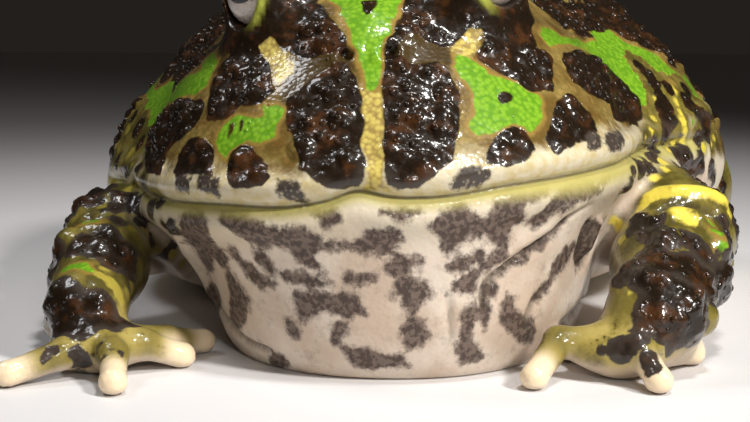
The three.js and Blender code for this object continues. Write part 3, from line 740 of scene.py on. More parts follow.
# millimetres inside the nearest of a group's outlines
def faceMark(q, group, reach=6.0):
    phi, theta, out = facing(q)
    inside = np.full(len(q), -reach)
    pad = 9  # degrees beyond an outline that are still measured
    for outline in outlines[group]:
        low, high = outline.min(0), outline.max(0)
        flat = math.cos(math.radians(outline[:, 1].mean()))
        close = (phi > low[0] - pad / flat) & (phi < high[0] + pad / flat)
        close &= (theta > low[1] - pad) & (theta < high[1] + pad)
        picked = np.nonzero(close)[0]
        if len(picked):
            d = insideOutline(phi[picked] * flat, theta[picked], outline * (flat, 1))
            inside[picked] = np.maximum(inside[picked], d * np.radians(1) * out[picked])
    return inside


# spots of the arms and shoulders: column and row in the photo, radius in its pixels
photoSpots = {
    "dark": [  # bands of the arms, blotches of the shoulders and hands
        (74, 250, 10), (86, 240, 13), (98, 238, 15), (110, 240, 17), (120, 250, 18), (126, 262, 14),
        (112, 262, 12), (100, 252, 14), (130, 272, 7), (56, 290, 13), (52, 304, 14), (50, 320, 12),
        (64, 300, 18), (70, 318, 22), (82, 322, 20), (90, 310, 20), (102, 318, 17), (108, 308, 10),
        (114, 324, 12), (126, 322, 9), (56, 330, 8), (76, 330, 8), (48, 351, 4), (42, 357, 2),
        (77, 354, 5), (82, 363, 5), (84, 372, 3), (98, 348, 2), (110, 350, 2), (121, 354, 3),
        (104, 358, 1), (112, 208, 9), (124, 200, 10), (138, 205, 10), (150, 210, 9), (118, 220, 8),
        (142, 222, 4), (92, 202, 7), (98, 194, 6), (160, 203, 6), (167, 228, 7), (127, 176, 9),
        (139, 167, 5), (142, 181, 4), (140, 143, 6), (138, 128, 8), (135, 114, 6), (116, 163, 5),
        (150, 238, 4), (176, 228, 4), (172, 244, 4), (162, 250, 4), (642, 220, 9), (652, 222, 12),
        (634, 228, 8), (648, 236, 9), (660, 232, 6), (668, 242, 10), (680, 238, 10), (694, 244, 10),
        (704, 254, 10), (652, 250, 12), (640, 258, 12), (630, 268, 10), (624, 278, 8), (664, 262, 20),
        (690, 268, 22), (706, 280, 16), (650, 280, 16), (672, 296, 24), (696, 304, 22), (712, 296, 12),
        (652, 312, 16), (660, 326, 14), (680, 328, 20), (698, 328, 16), (640, 328, 8), (672, 344, 6),
        (724, 222, 6), (728, 238, 7), (616, 344, 6), (628, 346, 7), (640, 342, 6), (622, 354, 6),
        (648, 358, 6), (652, 368, 5), (600, 348, 3), (666, 104, 8), (669, 118, 9), (667, 134, 8),
        (688, 102, 8), (696, 110, 8), (704, 123, 10), (706, 134, 9), (640, 66, 5), (648, 74, 6),
        (654, 84, 6), (658, 95, 6), (660, 108, 5), (669, 88, 6), (685, 88, 6), (700, 140, 8),
        (687, 158, 10), (678, 155, 7), (700, 162, 9), (712, 168, 8), (714, 178, 6), (692, 171, 8),
        (681, 169, 6), (723, 185, 5), (653, 157, 7), (647, 166, 7), (639, 166, 6), (634, 174, 6),
        (652, 145, 6), (626, 186, 5),
    ],
    "green": [  # small spots
        (84, 222, 4), (92, 220, 5), (100, 221, 4), (64, 270, 7), (72, 267, 9), (82, 266, 9), (88, 270, 7),
        (708, 214, 5), (712, 224, 6), (715, 236, 6), (717, 248, 6), (718, 258, 4), (672, 83, 4),
        (118, 184, 3),
    ],
    "yellow": [  # rims and folds
        (127, 131, 4), (128, 126, 3.5), (118, 150, 5), (131, 152, 6), (131, 166, 4), (112, 183, 7),
        (106, 188, 5), (131, 190, 6), (101, 206, 4), (134, 214, 4), (134, 230, 5), (146, 232, 4),
        (153, 224, 4), (100, 276, 7), (110, 284, 8), (118, 294, 8), (122, 303, 6), (132, 286, 7),
        (128, 295, 6), (104, 268, 4), (676, 92, 4), (677, 102, 4), (680, 112, 4), (682, 121, 5),
        (685, 131, 5), (681, 141, 5), (674, 144, 4), (669, 150, 4), (662, 161, 5), (667, 169, 5),
        (655, 176, 5), (704, 149, 5), (712, 145, 4), (715, 139, 3), (654, 97, 3), (654, 118, 3),
        (652, 132, 4), (645, 139, 4), (635, 215, 4), (641, 208, 6), (650, 201, 8), (662, 195, 9),
        (675, 193, 9), (689, 193, 9), (702, 194, 9), (714, 198, 8), (723, 204, 6), (729, 212, 5),
        (668, 208, 5), (677, 216, 7), (688, 220, 7), (618, 226, 8), (622, 238, 7), (614, 218, 5),
        (632, 292, 2), (170, 250, 6), (182, 262, 5), (264, -4, 3), (264, 4, 3), (263, 12, 3),
    ],
}

# dark patches and green spots of the hind legs and the arms' outer sides: middle and radius in millimetres
legSpots = {
    "dark": [
        ((-41, 10, 20), 7), ((41, 12, 21), 7), ((-46, 26, 12), 6), ((46, 28, 12), 6.5),
        ((-38, 30, 20), 6.5), ((38, 34, 19), 6), ((-44, 42, 8), 6), ((43, 44, 8), 6),
        ((-30, 48, 11), 5), ((31, 50, 11), 5), ((-38, 26, 5), 3.5), ((38, 27, 5), 3.5),
        ((-43, -42, 8), 5.5), ((-42, -30, 15), 5.5), ((40, -40, 8), 6), ((42, -28, 16), 6),
    ],
    "green": [
        ((-47, 18, 17), 3.5), ((47, 19, 17), 3.5), ((-36, 40, 17), 3.2), ((36, 42, 17), 3.2),
    ],
}


def throwSpots():
    listed = [(name, spot) for name, group in photoSpots.items() for spot in group]
    points, met = onFrog([spot[:2] for _, spot in listed], skinForm)
    thrown = {name: list(legSpots.get(name, [])) for name in photoSpots}
    for (name, spot), point, good in zip(listed, points, met):
        if good:
            away = np.linalg.norm(point - photoEye)
            thrown[name].append((point, spot[2] * away / view["focalPixels"]))
    return thrown


spots = throwSpots()


# millimetres inside the nearest of some balls
def ballMark(p, balls, reach=6.0):
    inside = np.full(len(p), -reach)
    for at, radius in balls:
        inside = np.maximum(inside, radius - np.linalg.norm(p - np.array(at), axis=1))
    return inside


noise.seed_set(7)  # without it the noise differs from run to run


# smooth noise in three directions, which bends a pattern's edges
def wander(points, scale, seed, amount=1.0):
    shift = Vector((seed * 7.3, seed * 3.1, seed * 5.7))
    return np.array([noise.noise_vector(Vector(p) / scale + shift) for p in points.tolist()]) * amount


backPattern = {
    "seed": 12, "tries": 6000, "blobs": 56, "least": 4.8, "most": 10.0, "overlap": 1.0, "stripeHalf": 4.5,
    "middle": (0, 8, 17), "reach": (46, 46, 35),
}


# seeded dark patches over the back and flanks, kept apart and off the middle stripe
def backBlobs():
    random = np.random.default_rng(backPattern["seed"])
    (_, midV, midW), (wide, long, tall) = backPattern["middle"], backPattern["reach"]
    placed = []
    for _ in range(backPattern["tries"]):
        a, h = random.uniform(-math.pi, math.pi), random.uniform(-0.12, 0.98)
        size = random.uniform(backPattern["least"], backPattern["most"]) * (1.12 - 0.4 * max(0, 0.5 - h))
        ring = math.sqrt(1 - max(0, h) ** 2)
        u, v, w = wide * ring * math.sin(a), midV + long * ring * math.cos(a), midW + tall * h
        onFace = v < -29 or (v < -12 and w < 36)
        onStripe = abs(u) < backPattern["stripeHalf"] + size * 0.8 and w > 24
        if onFace or onStripe:
            continue
        apart = [(u - o[0]) ** 2 + (v - o[1]) ** 2 + (w - o[2]) ** 2 for o in placed]
        if all(d > (size + o[3] - backPattern["overlap"]) ** 2 for d, o in zip(apart, placed)):
            placed.append((u, v, w, size))
        if len(placed) == backPattern["blobs"]:
            break
    return [((u, v, w), size) for u, v, w, size in placed]


# rises from 0 at low to 1 at high with soft ends
def gentle(x, low, high):
    t = np.clip((x - low) / (high - low), 0, 1)
    return t * t * (3 - 2 * t)


farOut = -6  # the value of a mark where it is out of reach


# dark ring round the lids, the green rim of the eye's opening and the lids themselves
def eyeMarks(marks, q, bent):
    marks["rim"], marks["lid"] = np.zeros(len(q)), np.zeros(len(q))
    for s in (-1, 1):
        away = fromEye(bent, s)
        inner = gentle(-s * (q[:, 0] - eyeAt(s)[0]), -2.0, 0.5)
        rim = gentle(-np.abs(eyeOpening(q, s) - 0.3), -0.9, -0.4) * (away < 7) * inner
        marks["rim"] = np.maximum(marks["rim"], rim)
        lid = np.where(q[:, 2] < eyeAt(s)[2] + 6.5, 8.6 - away, farOut)
        marks["dark"] = np.maximum(marks["dark"], np.minimum(lid, 1.0))
        marks["lid"] = np.maximum(marks["lid"], gentle(-away, -11.0, -8.5))


# every marking at points in the solids' frame, as a dictionary of arrays
def marksOn(p, outward):
    q = toTrunk(p)
    bent = q + wander(q, 2.2, 1, 0.5) + wander(q, 0.8, 2, 0.12)
    wide = q + wander(q, 6.0, 3, 2.6) + wander(q, 2.2, 4, 0.9)
    bentSpots = p + wander(p, 3.0, 5, 0.7) + wander(p, 1.0, 6, 0.35)
    bentThroat = q + wander(q, 1.6, 7, 0.5)
    above = q[:, 2] - mouthLine(q[:, 0])
    onLimb = gentle(trunkForm(q), 0.6, 2.4)
    front = gentle(-q[:, 1], 6, 14)

    def onTrunk(group):
        return np.where(onLimb > 0.5, farOut, faceMark(bent, group))

    # the arms' spots, yellow before dark
    dark, green, yellow = (ballMark(bentSpots, spots[name]) for name in ("dark", "green", "yellow"))
    yellow = yellow + 0.15
    dark = np.minimum(dark + 0.5, -np.maximum(yellow, green) + 0.1)
    spotted = np.maximum(yellow, dark)
    free = np.maximum(np.maximum(dark, green), yellow) < -1.5
    # the seeded pattern of the back, where neither limbs nor spots are
    body = (onLimb < 0.5) & free & (above > 1)
    blobs = ballMark(wide, backBlobs())
    stripe = backPattern["stripeHalf"] - np.abs(wide[:, 0] - frog["faceMiddle"])
    stripe = stripe - 0.02 * np.maximum(0, q[:, 1] + 40)
    stripe = np.where((q[:, 2] > 26) & (q[:, 1] > -34), stripe, farOut)
    farForward = 6 * gentle(-wide[:, 1], 20, 30) + 6 * gentle(-wide[:, 2], -12, -6)
    between = -np.where(q[:, 1] < -35, farOut, blobs) - 1.3 - farForward
    backGreen = np.where(body, np.maximum(stripe, between), farOut)
    marks = {"above": np.where(q[:, 1] < -8, above, 12.0)}
    marks["dark"] = np.maximum(np.maximum(onTrunk("dark"), np.where(body, blobs, farOut)), dark)
    marks["green"] = np.maximum(np.maximum(onTrunk("green"), backGreen), green)
    marks["yellow"] = np.maximum(onTrunk("yellow"), yellow)
    marks["grey"] = faceMark(bent, "grey")
    eyeMarks(marks, q, bent)
    marks["brown"] = faceMark(bent, "brown")
    marks["throat"] = np.where(onLimb > 0.4, farOut, faceMark(bentThroat, "throat"))
    # pale below the mouth and the flanks' edge, and under the limbs
    flankEdge = 11 + 7 * gentle(-q[:, 1], -8, 10)
    below = gentle(-(wide[:, 2] - flankEdge), -1.2, 1.2)
    pale = np.where(q[:, 1] < -12, gentle(-above, -0.1, 0.1), below)
    pale = pale * (1 - onLimb) + onLimb * gentle(-outward[:, 2], 0.25, 0.75) * 0.8
    marks["pale"] = np.clip(pale, 0, 1) * (1 - gentle(spotted, -0.6, 0.6))
    marks["limb"] = np.maximum(onLimb, gentle(spotted, -2.5, -0.5))
    lipWidth = 0.55 + 1.3 * gentle(q[:, 0], 10, 28)
    lip = gentle(above, -lipWidth - 1.3, -0.5 * lipWidth) * (above < 0.4)
    marks["lip"] = lip * front * (1 - onLimb)
    # hands and finger tips
    tips = [tip for s in (-1, 1) for _, tip in fingers[s]]
    fromTip = np.min([np.linalg.norm(p - np.array(tip), axis=1) for tip in tips], axis=0)
    palms = [(p - np.array(palm[s])) * (1, 1, 1.4) for s in (-1, 1)]
    fromPalm = np.min([np.linalg.norm(away, axis=1) for away in palms], axis=0)
    marks["tip"] = gentle(-fromTip, -4.2, -2.0)
    marks["hand"] = gentle(-np.minimum(fromPalm - 4, fromTip - 2), -5, 1) * onLimb
    marks["front"] = front
    # painted shade: low on the frog's right side, which lies away from the light, so that its folds get a
    # duller yellow
    marks["litSideGold"] = gentle(q[:, 0], -10, 20)
    return marks


marks = marksOn(corners, outward)
say("markings")


# Folds and warts raised on the skin
# lines in the photo's pixels, half width and height in millimetres; a negative height is a crease
folds = [
    ([(592, 206), (582, 208), (568, 217), (552, 234), (536, 245), (520, 256), (507, 266),
      (494, 277), (485, 288), (484, 304), (486, 326)], 0.55, -0.65),
    ([(600, 196), (580, 202), (562, 212), (546, 228), (530, 238), (512, 248), (498, 260),
      (482, 274)], 1.1, 0.35),
    ([(592, 218), (584, 234), (579, 252), (580, 270)], 0.8, -0.7),
    ([(606, 217), (598, 238), (588, 258), (577, 272)], 0.6, -0.6),
    ([(600, 214), (592, 234), (584, 254)], 0.8, 0.5),
    ([(606, 284), (594, 277), (588, 292), (580, 307), (568, 323), (558, 336)], 0.7, -0.6),
    ([(552, 280), (536, 300), (529, 315), (524, 332)], 0.6, -0.4),
    ([(449, 292), (450, 320), (452, 346)], 0.4, -0.3),
    ([(181, 236), (194, 255), (205, 271), (212, 287), (221, 311), (232, 327), (245, 341),
      (264, 350), (277, 353)], 0.6, -0.55),
    ([(174, 222), (177, 234), (186, 251), (199, 268), (209, 287), (217, 305)], 0.9, 0.4),
    ([(634, 210), (646, 200), (658, 194), (672, 192), (687, 192), (701, 193), (714, 197),
      (723, 203), (729, 211)], 1.2, 0.6),
    ([(648, 214), (664, 207), (681, 206), (698, 207), (712, 211), (720, 217)], 0.8, -0.9),
    ([(664, 216), (680, 213), (696, 217), (704, 226)], 0.9, 0.6),
    ([(84, 214), (93, 217), (104, 214)], 0.7, -0.5),
    ([(82, 228), (94, 231), (106, 228)], 0.6, -0.4),
    ([(150, 242), (166, 254), (182, 268), (196, 284)], 1.0, 0.6),
    ([(134, 250), (152, 258), (168, 272)], 0.8, -0.5),
]
warts = {  # the big ones stand where the solids have them
    "count": 38, "seed": 11, "radius": (1.9, 2.8), "proud": 0.47,
    "bodyMiddle": (0, 8, 16), "bodyReach": (46, 46, 36),
    "smallSeed": 5, "smallTries": 9000, "smallCount": 900, "smallRadius": (0.8, 1.7), "smallGap": 1.75,
    "smallHeight": 0.5, "onGreen": 0.15,
}


# how far the folds raise the skin at each point, less than nothing in a crease
def foldLift(p):
    lift = np.zeros(len(p))
    deepen = 1.5
    thrown, met = onFrog([corner for line, _, _ in folds for corner in line], skinForm)
    start = 0
    for line, half, height in folds:
        points = thrown[start:start + len(line)][met[start:start + len(line)]]
        start += len(line)
        low, high = points.min(0) - 4 * half, points.max(0) + 4 * half
        picked = np.nonzero(np.all((p > low) & (p < high), axis=1))[0]
        best = np.full(len(picked), 99.0)
        along = np.zeros(len(picked))
        for i, (a, b) in enumerate(zip(points, points[1:])):
            ab = b - a
            t = np.clip((p[picked] - a) @ ab / (ab @ ab + 1e-9), 0, 1)
            away = np.linalg.norm(p[picked] - a - t[:, None] * ab, axis=1)
            along = np.where(away < best, (i + t) / (len(points) - 1), along)
            best = np.minimum(best, away)
        ends = gentle(np.minimum(along, 1 - along), -0.02, 0.16)  # the fold runs out at both ends
        lift[picked] += deepen * height * ends * hump(best, 0, half)
    return lift


# the seeded places of the big warts, in the same order as in the solids
def bigWarts():
    state = warts["seed"]

    def draw():
        nonlocal state
        state = state * 16807 % 2147483647
        return state / 2147483647

    rays = []
    middle, (wide, long, tall) = warts["bodyMiddle"], warts["bodyReach"]
    for i in range(warts["count"]):
        rise = 0.1 + 0.78 * ((i + 0.5) / warts["count"]) + 0.06 * (draw() - 0.5)
        angle = i * 2.39996 + 0.5 * (draw() - 0.5)
        size, level = draw(), math.sqrt(1 - rise * rise)
        u, v = wide * level * math.sin(angle), middle[1] + long * level * math.cos(angle)
        if v > -12:
            rays.append((fromTrunk(middle), fromTrunk((u, v - middle[1], tall * rise)), size))
    for s in (-1, 1):
        for i in range(4):
            forearm = np.array(wrist[s]) - np.array(elbow[s])
            start = np.array(elbow[s]) + forearm * (0.2 + 0.22 * i)
            turn = -0.5 + 1.1 * (i % 3) + 0.4 * (draw() - 0.5)
            rays.append((start, np.array([s * math.cos(turn), -0.5, math.sin(turn)]), 0.5 * draw()))
    starts, ways = np.array([r[0] for r in rays], float), np.array([r[1] for r in rays], float)
    ways /= np.linalg.norm(ways, axis=1, keepdims=True)
    places, _ = firstHit(starts + ways * 90, -ways, skinForm, 0, 90, 0.6)
    least, most = warts["radius"]
    return [(place, least + (most - least) * r[2]) for place, r in zip(places, rays)]


# where the skin is rough enough for small warts
def roughSkin(p, marks, random):
    onGreen = (marks["green"] > 0.3) & (marks["above"] > 9) & (random.random(len(p)) < warts["onGreen"])
    rough = (marks["dark"] > 0.5) | onGreen
    rough &= (marks["pale"] < 0.2) & ((marks["above"] > 3.2) | (marks["limb"] > 0.5)) & (p[:, 2] > 6)
    return rough & (marks["lid"] < 0.3) & (marks["hand"] < 0.3)


# how far the big and the small warts raise the skin at each point
def wartLift(p, marks):
    tree = kdtree.KDTree(len(p))
    for i, point in enumerate(p.tolist()):
        tree.insert(point, i)
    tree.balance()
    lift = np.zeros(len(p))
    for place, radius in bigWarts():
        for _, i, away in tree.find_range(place, radius):
            lift[i] = max(lift[i], warts["proud"] * radius * (1 - (away / radius) ** 2) ** 0.9)
    random = np.random.default_rng(warts["smallSeed"])
    rough = np.nonzero(roughSkin(p, marks, random))[0]
    placed = []
    for i in random.permutation(rough)[:warts["smallTries"]]:
        if len(placed) == warts["smallCount"]:
            break
        if not placed or np.min(np.sum((p[placed] - p[i]) ** 2, axis=1)) > warts["smallGap"] ** 2:
            placed.append(i)
    least, most = warts["smallRadius"]
    for i in placed:
        radius = least + (most - least) * random.random() ** 2
        height = warts["smallHeight"] * radius * min(1.0, (marks["dark"][i] + 0.4) / 1.2)
        for _, j, away in tree.find_range(p[i], radius):
            lift[j] = max(lift[j], height * (1 - (away / radius) ** 2) ** 0.8)
    return lift


foldHeights = foldLift(corners)
# depth of the folds' creases, which sets the painted shade in them
marks["creaseShade"] = gentle(-foldHeights, 0.1, 0.6)
corners = corners + outward * (foldHeights + wartLift(corners, marks))[:, None]
corners[:, 2] = np.maximum(corners[:, 2], 0.02)
say("folds and warts")

beadGrowth = {"onDark": 0.62, "onGreen": 0.05, "elsewhere": 0.12}


# how big the beads of the skin grow at each corner, from 0 to 1
def beadMark(marks, heights):
    size = beadGrowth["onDark"] * gentle(marks["dark"], 0, 0.6)
    size = size + beadGrowth["onGreen"] * gentle(marks["green"], 0, 1) + beadGrowth["elsewhere"]
    size = size * ((1 - marks["pale"]) * (1 - marks["hand"]) * (1 - 0.8 * marks["lid"]))
    size = size * np.maximum(gentle(marks["above"], 2.6, 8.0), 0.75 * marks["limb"])
    return np.clip(size, 0, 1) * (heights > 2.0)


marks["bead"] = beadMark(marks, corners[:, 2])


def smoothMesh(name, corners, faces, marks):
    mesh = bpy.data.meshes.new(name)
    mesh.vertices.add(len(corners))
    mesh.vertices.foreach_set("co", np.ascontiguousarray(corners, np.float32).ravel())
    sides = faces.shape[1]
    mesh.loops.add(faces.size)
    mesh.loops.foreach_set("vertex_index", np.ascontiguousarray(faces, np.int32).ravel())
    mesh.polygons.add(len(faces))
    mesh.polygons.foreach_set("loop_start", np.arange(0, faces.size, sides, dtype=np.int32))
    mesh.polygons.foreach_set("loop_total", np.full(len(faces), sides, np.int32))
    mesh.update(calc_edges=True)
    mesh.polygons.foreach_set("use_smooth", np.ones(len(faces), bool))
    mesh.validate()
    for mark, values in marks.items():
        layer = mesh.attributes.new(mark, "FLOAT", "POINT")
        layer.data.foreach_set("value", np.ascontiguousarray(values, np.float32))
    return mesh


# Skin material
palette = {
    "green": (0.20, 0.40, 0.020), "greenDeep": (0.11, 0.27, 0.012),
    "tan": (0.30, 0.21, 0.060), "ochre": (0.15, 0.085, 0.020), "olive": (0.085, 0.070, 0.014),
    "rust": (0.30, 0.19, 0.04), "brown": (0.055, 0.034, 0.010),
    "yellow": (0.55, 0.44, 0.11), "cream": (0.64, 0.57, 0.41), "mouthYellow": (0.44, 0.39, 0.12),
    "dark": (0.014, 0.008, 0.004), "russet": (0.062, 0.024, 0.008), "greyEdge": (0.060, 0.047, 0.038),
    "throat": (0.68, 0.58, 0.48), "throatPink": (0.56, 0.44, 0.34), "throatDark": (0.075, 0.052, 0.042),
    "throatGrain": (0.17, 0.125, 0.100), "finger": (0.52, 0.41, 0.12), "tip": (0.92, 0.74, 0.50),
    # the crease colours here are painted shade, for the mouth's slit and for the folds' creases
    "limbYellow": (0.20, 0.16, 0.032), "foldYellow": (0.74, 0.60, 0.08), "creaseShade": (0.09, 0.07, 0.02),
    "creamDeep": (0.56, 0.46, 0.24), "greenYellow": (0.30, 0.38, 0.04), "greyGrain": (0.20, 0.165, 0.12),
    "eyeRim": (0.36, 0.38, 0.06), "foldShade": (0.06, 0.045, 0.03),
}
wetness = {
    "Coat Roughness": 0.07, "Coat IOR": 1.36, "Specular IOR Level": 0.18,
    "Subsurface Weight": 0.08, "Subsurface Scale": 0.001,
}


def skinMaterial():
    material = bpy.data.materials.new("wet frog skin")
    material.use_nodes = True
    tree = material.node_tree
    shader = tree.nodes["Principled BSDF"]
    place = wire(tree, "ShaderNodeTexCoord").outputs["Object"]

    def mix(amount, a, b):
        return mixColour(tree, amount, a, b)

    def rise(value, low, high, start=0.0, stop=1.0):
        return edge(tree, value, low, high, start, stop)

    def times(a, b):
        return maths(tree, "MULTIPLY", a, b)

    def plus(a, b):
        return maths(tree, "ADD", a, b)

    def less(a, b):
        return maths(tree, "SUBTRACT", a, b)

    def mark(name):
        return wire(tree, "ShaderNodeAttribute", attribute_name=name).outputs["Fac"]

    def cloud(scale, detail=2.0, rough=0.5):
        return wire(tree, "ShaderNodeTexNoise", in_Vector=place, in_Scale=scale, in_Detail=detail,
                    in_Roughness=rough).outputs[0]

    def pebbles(scale):
        return wire(tree, "ShaderNodeTexVoronoi", feature="SMOOTH_F1", in_Vector=place, in_Scale=scale,
                    in_Smoothness=0.4).outputs["Distance"]

    fine, grains, blotches = cloud(1600.0, 3.0), pebbles(1700.0), cloud(260.0, 4.0, 0.6)
    coarseGrain = pebbles(620.0)
    frayed = times(less(cloud(900.0, 3.0, 0.7), 0.5), 1.5)

    def marked(name, low=-0.12, high=0.12, fray=0.6):
        return rise(plus(mark(name), times(frayed, fray)), low, high)

    above, limb, hand, tip, pale = mark("above"), mark("limb"), mark("hand"), mark("tip"), mark("pale")
    # ground of the head and back, and of the limbs
    ground = mix(rise(blotches, 0.40, 0.66), palette["ochre"], palette["tan"])
    ground = mix(times(rise(grains, 0.3, 0.6), 0.35), ground, palette["olive"])
    ground = mix(marked("brown", -0.5, 0.8), ground, palette["brown"])
    limbGround = mix(rise(blotches, 0.4, 0.6), palette["olive"], palette["limbYellow"])
    colour = mix(limb, ground, limbGround)
    # the cream band over the mouth
    bandTop = plus(3.4, times(less(blotches, 0.5), 5.0))
    band = rise(less(above, bandTop), 1.6, -0.8)
    band = times(band, less(1.0, limb))
    cream = mix(rise(cloud(700.0, 3.0), 0.35, 0.7), palette["cream"], palette["creamDeep"])
    colour = mix(band, colour, cream)
    # green zones inside a tan rim
    colour = mix(times(marked("green", -0.7, -0.1), 0.8), colour, palette["rust"])
    green = mix(rise(grains, 0.25, 0.75), palette["green"], palette["greenDeep"])
    green = mix(rise(blotches, 0.62, 0.8), green, palette["greenYellow"])
    colour = mix(marked("green", -0.08, 0.22, 0.5), colour, green)
    yellow = mix(rise(grains, 0.3, 0.8), palette["yellow"], palette["tan"])
    # painted shade: the folds' bright yellow dulls to limbYellow on the frog's right side
    litSideGold = times(rise(blotches, 0.8, 0.52), rise(mark("litSideGold"), 0.0, 1.0, 0.3, 1.0))
    folded = mix(litSideGold, palette["limbYellow"], palette["foldYellow"])
    yellow = mix(limb, yellow, folded)
    colour = mix(marked("yellow", -0.3, 0.3), colour, yellow)
    # hands and feet
    finger = mix(rise(blotches, 0.42, 0.62), palette["finger"], palette["limbYellow"])
    handSpeck = times(rise(cloud(520.0, 3.0, 0.6), 0.60, 0.68), less(1.0, tip))
    finger = mix(handSpeck, finger, palette["brown"])
    colour = mix(hand, colour, mix(tip, finger, palette["tip"]))
    # pale belly and throat
    throat = mix(rise(cloud(120.0, 3.0), 0.4, 0.62), palette["throat"], palette["throatPink"])
    specks = times(rise(cloud(420.0, 4.0, 0.7), 0.52, 0.72), 0.35)
    throat = mix(specks, throat, palette["throatGrain"])
    creamTop = times(rise(above, -7.0, -2.0), 0.6)
    throat = mix(creamTop, throat, palette["cream"])
    spots = mix(rise(fine, 0.42, 0.60), palette["throatDark"], palette["throatGrain"])
    throat = mix(marked("throat", -0.65, 0.25, 1.3), throat, spots)
    throat = mix(times(mark("lip"), 0.95), throat, palette["mouthYellow"])
    colour = mix(pale, colour, throat)
    # dark blotches, russet inside and greyish at the lower edge
    darkest = mix(rise(cloud(330.0, 4.0, 0.65), 0.48, 0.68), palette["dark"], palette["russet"])
    greyer = times(rise(above, 4.2, 2.0), rise(mark("dark"), 1.4, 0.2))
    darkest = mix(times(greyer, 0.7), darkest, palette["greyEdge"])
    dark = marked("dark", -0.14, 0.14, 0.35)
    colour = mix(dark, colour, darkest)
    greyGrain = mix(rise(grains, 0.42, 0.15), palette["greyEdge"], palette["greyGrain"])
    colour = mix(marked("grey", -0.8, -0.2, 1.1), colour, greyGrain)
    colour = mix(mark("rim"), colour, palette["eyeRim"])
    # painted shade: the dark line in the mouth's slit, and darkening in the folds' creases
    slit = times(rise(maths(tree, "ABSOLUTE", above), 0.30, 0.05), mark("front"))
    slit = times(slit, less(1.0, limb))
    colour = mix(times(slit, 0.8), colour, palette["creaseShade"])
    colour = mix(times(mark("creaseShade"), 0.55), colour, palette["foldShade"])
    tree.links.new(colour, shader.inputs["Base Color"])
    # relief: pebbled dark skin, grain everywhere
    pebbled = times(less(0.6, coarseGrain), times(dark, 0.7))
    granular = times(less(0.5, grains), 0.15)
    height = plus(pebbled, plus(granular, times(fine, 0.12)))
    bump = wire(tree, "ShaderNodeBump", in_Height=height, in_Strength=0.7, in_Distance=0.0004)
    tree.links.new(bump.outputs[0], shader.inputs["Normal"])
    tree.links.new(bump.outputs[0], shader.inputs["Coat Normal"])
    wet = plus(times(pale, 0.6), times(fine, 0.3))
    tree.links.new(rise(wet, 0.0, 1.0, 0.30, 0.58), shader.inputs["Roughness"])
    tree.links.new(rise(pale, 0.0, 1.0, 0.75, 0.25), shader.inputs["Coat Weight"])
    for name, value in wetness.items():
        shader.inputs[name].default_value = value
    return material


skinLook = skinMaterial()
skinMesh = smoothMesh("frog_skin", toScene(corners), quads, marks)
skinMesh.materials.append(skinLook)
skin = addObject("frog_skin", skinMesh)
fleshNodes = [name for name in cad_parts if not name.startswith("eye_")]
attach(skin, "root")
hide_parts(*fleshNodes)
say("skin")

# Beads: the skin's small round tubercles, scattered by Geometry Nodes
beads = {  # spacing and radius in metres
    "face_beads": {"Spacing": 0.00085, "Radius": 0.00044, "Seed": 3, "where": "face"},
    "back_beads": {"Spacing": 0.00130, "Radius": 0.00060, "Seed": 4, "where": "back"},
    "side_beads": {"Spacing": 0.00120, "Radius": 0.00052, "Seed": 5, "where": "sides"},
}
beadShape = {"Flatness": 0.55, "Least": 0.45, "Most": 1.5, "Sides": 7, "Rows": 5}
beadPatch = {"middle": (0, -0.006, 0.02), "reach": 0.0007, "onMap": 0.0012, "filled": 0.98}


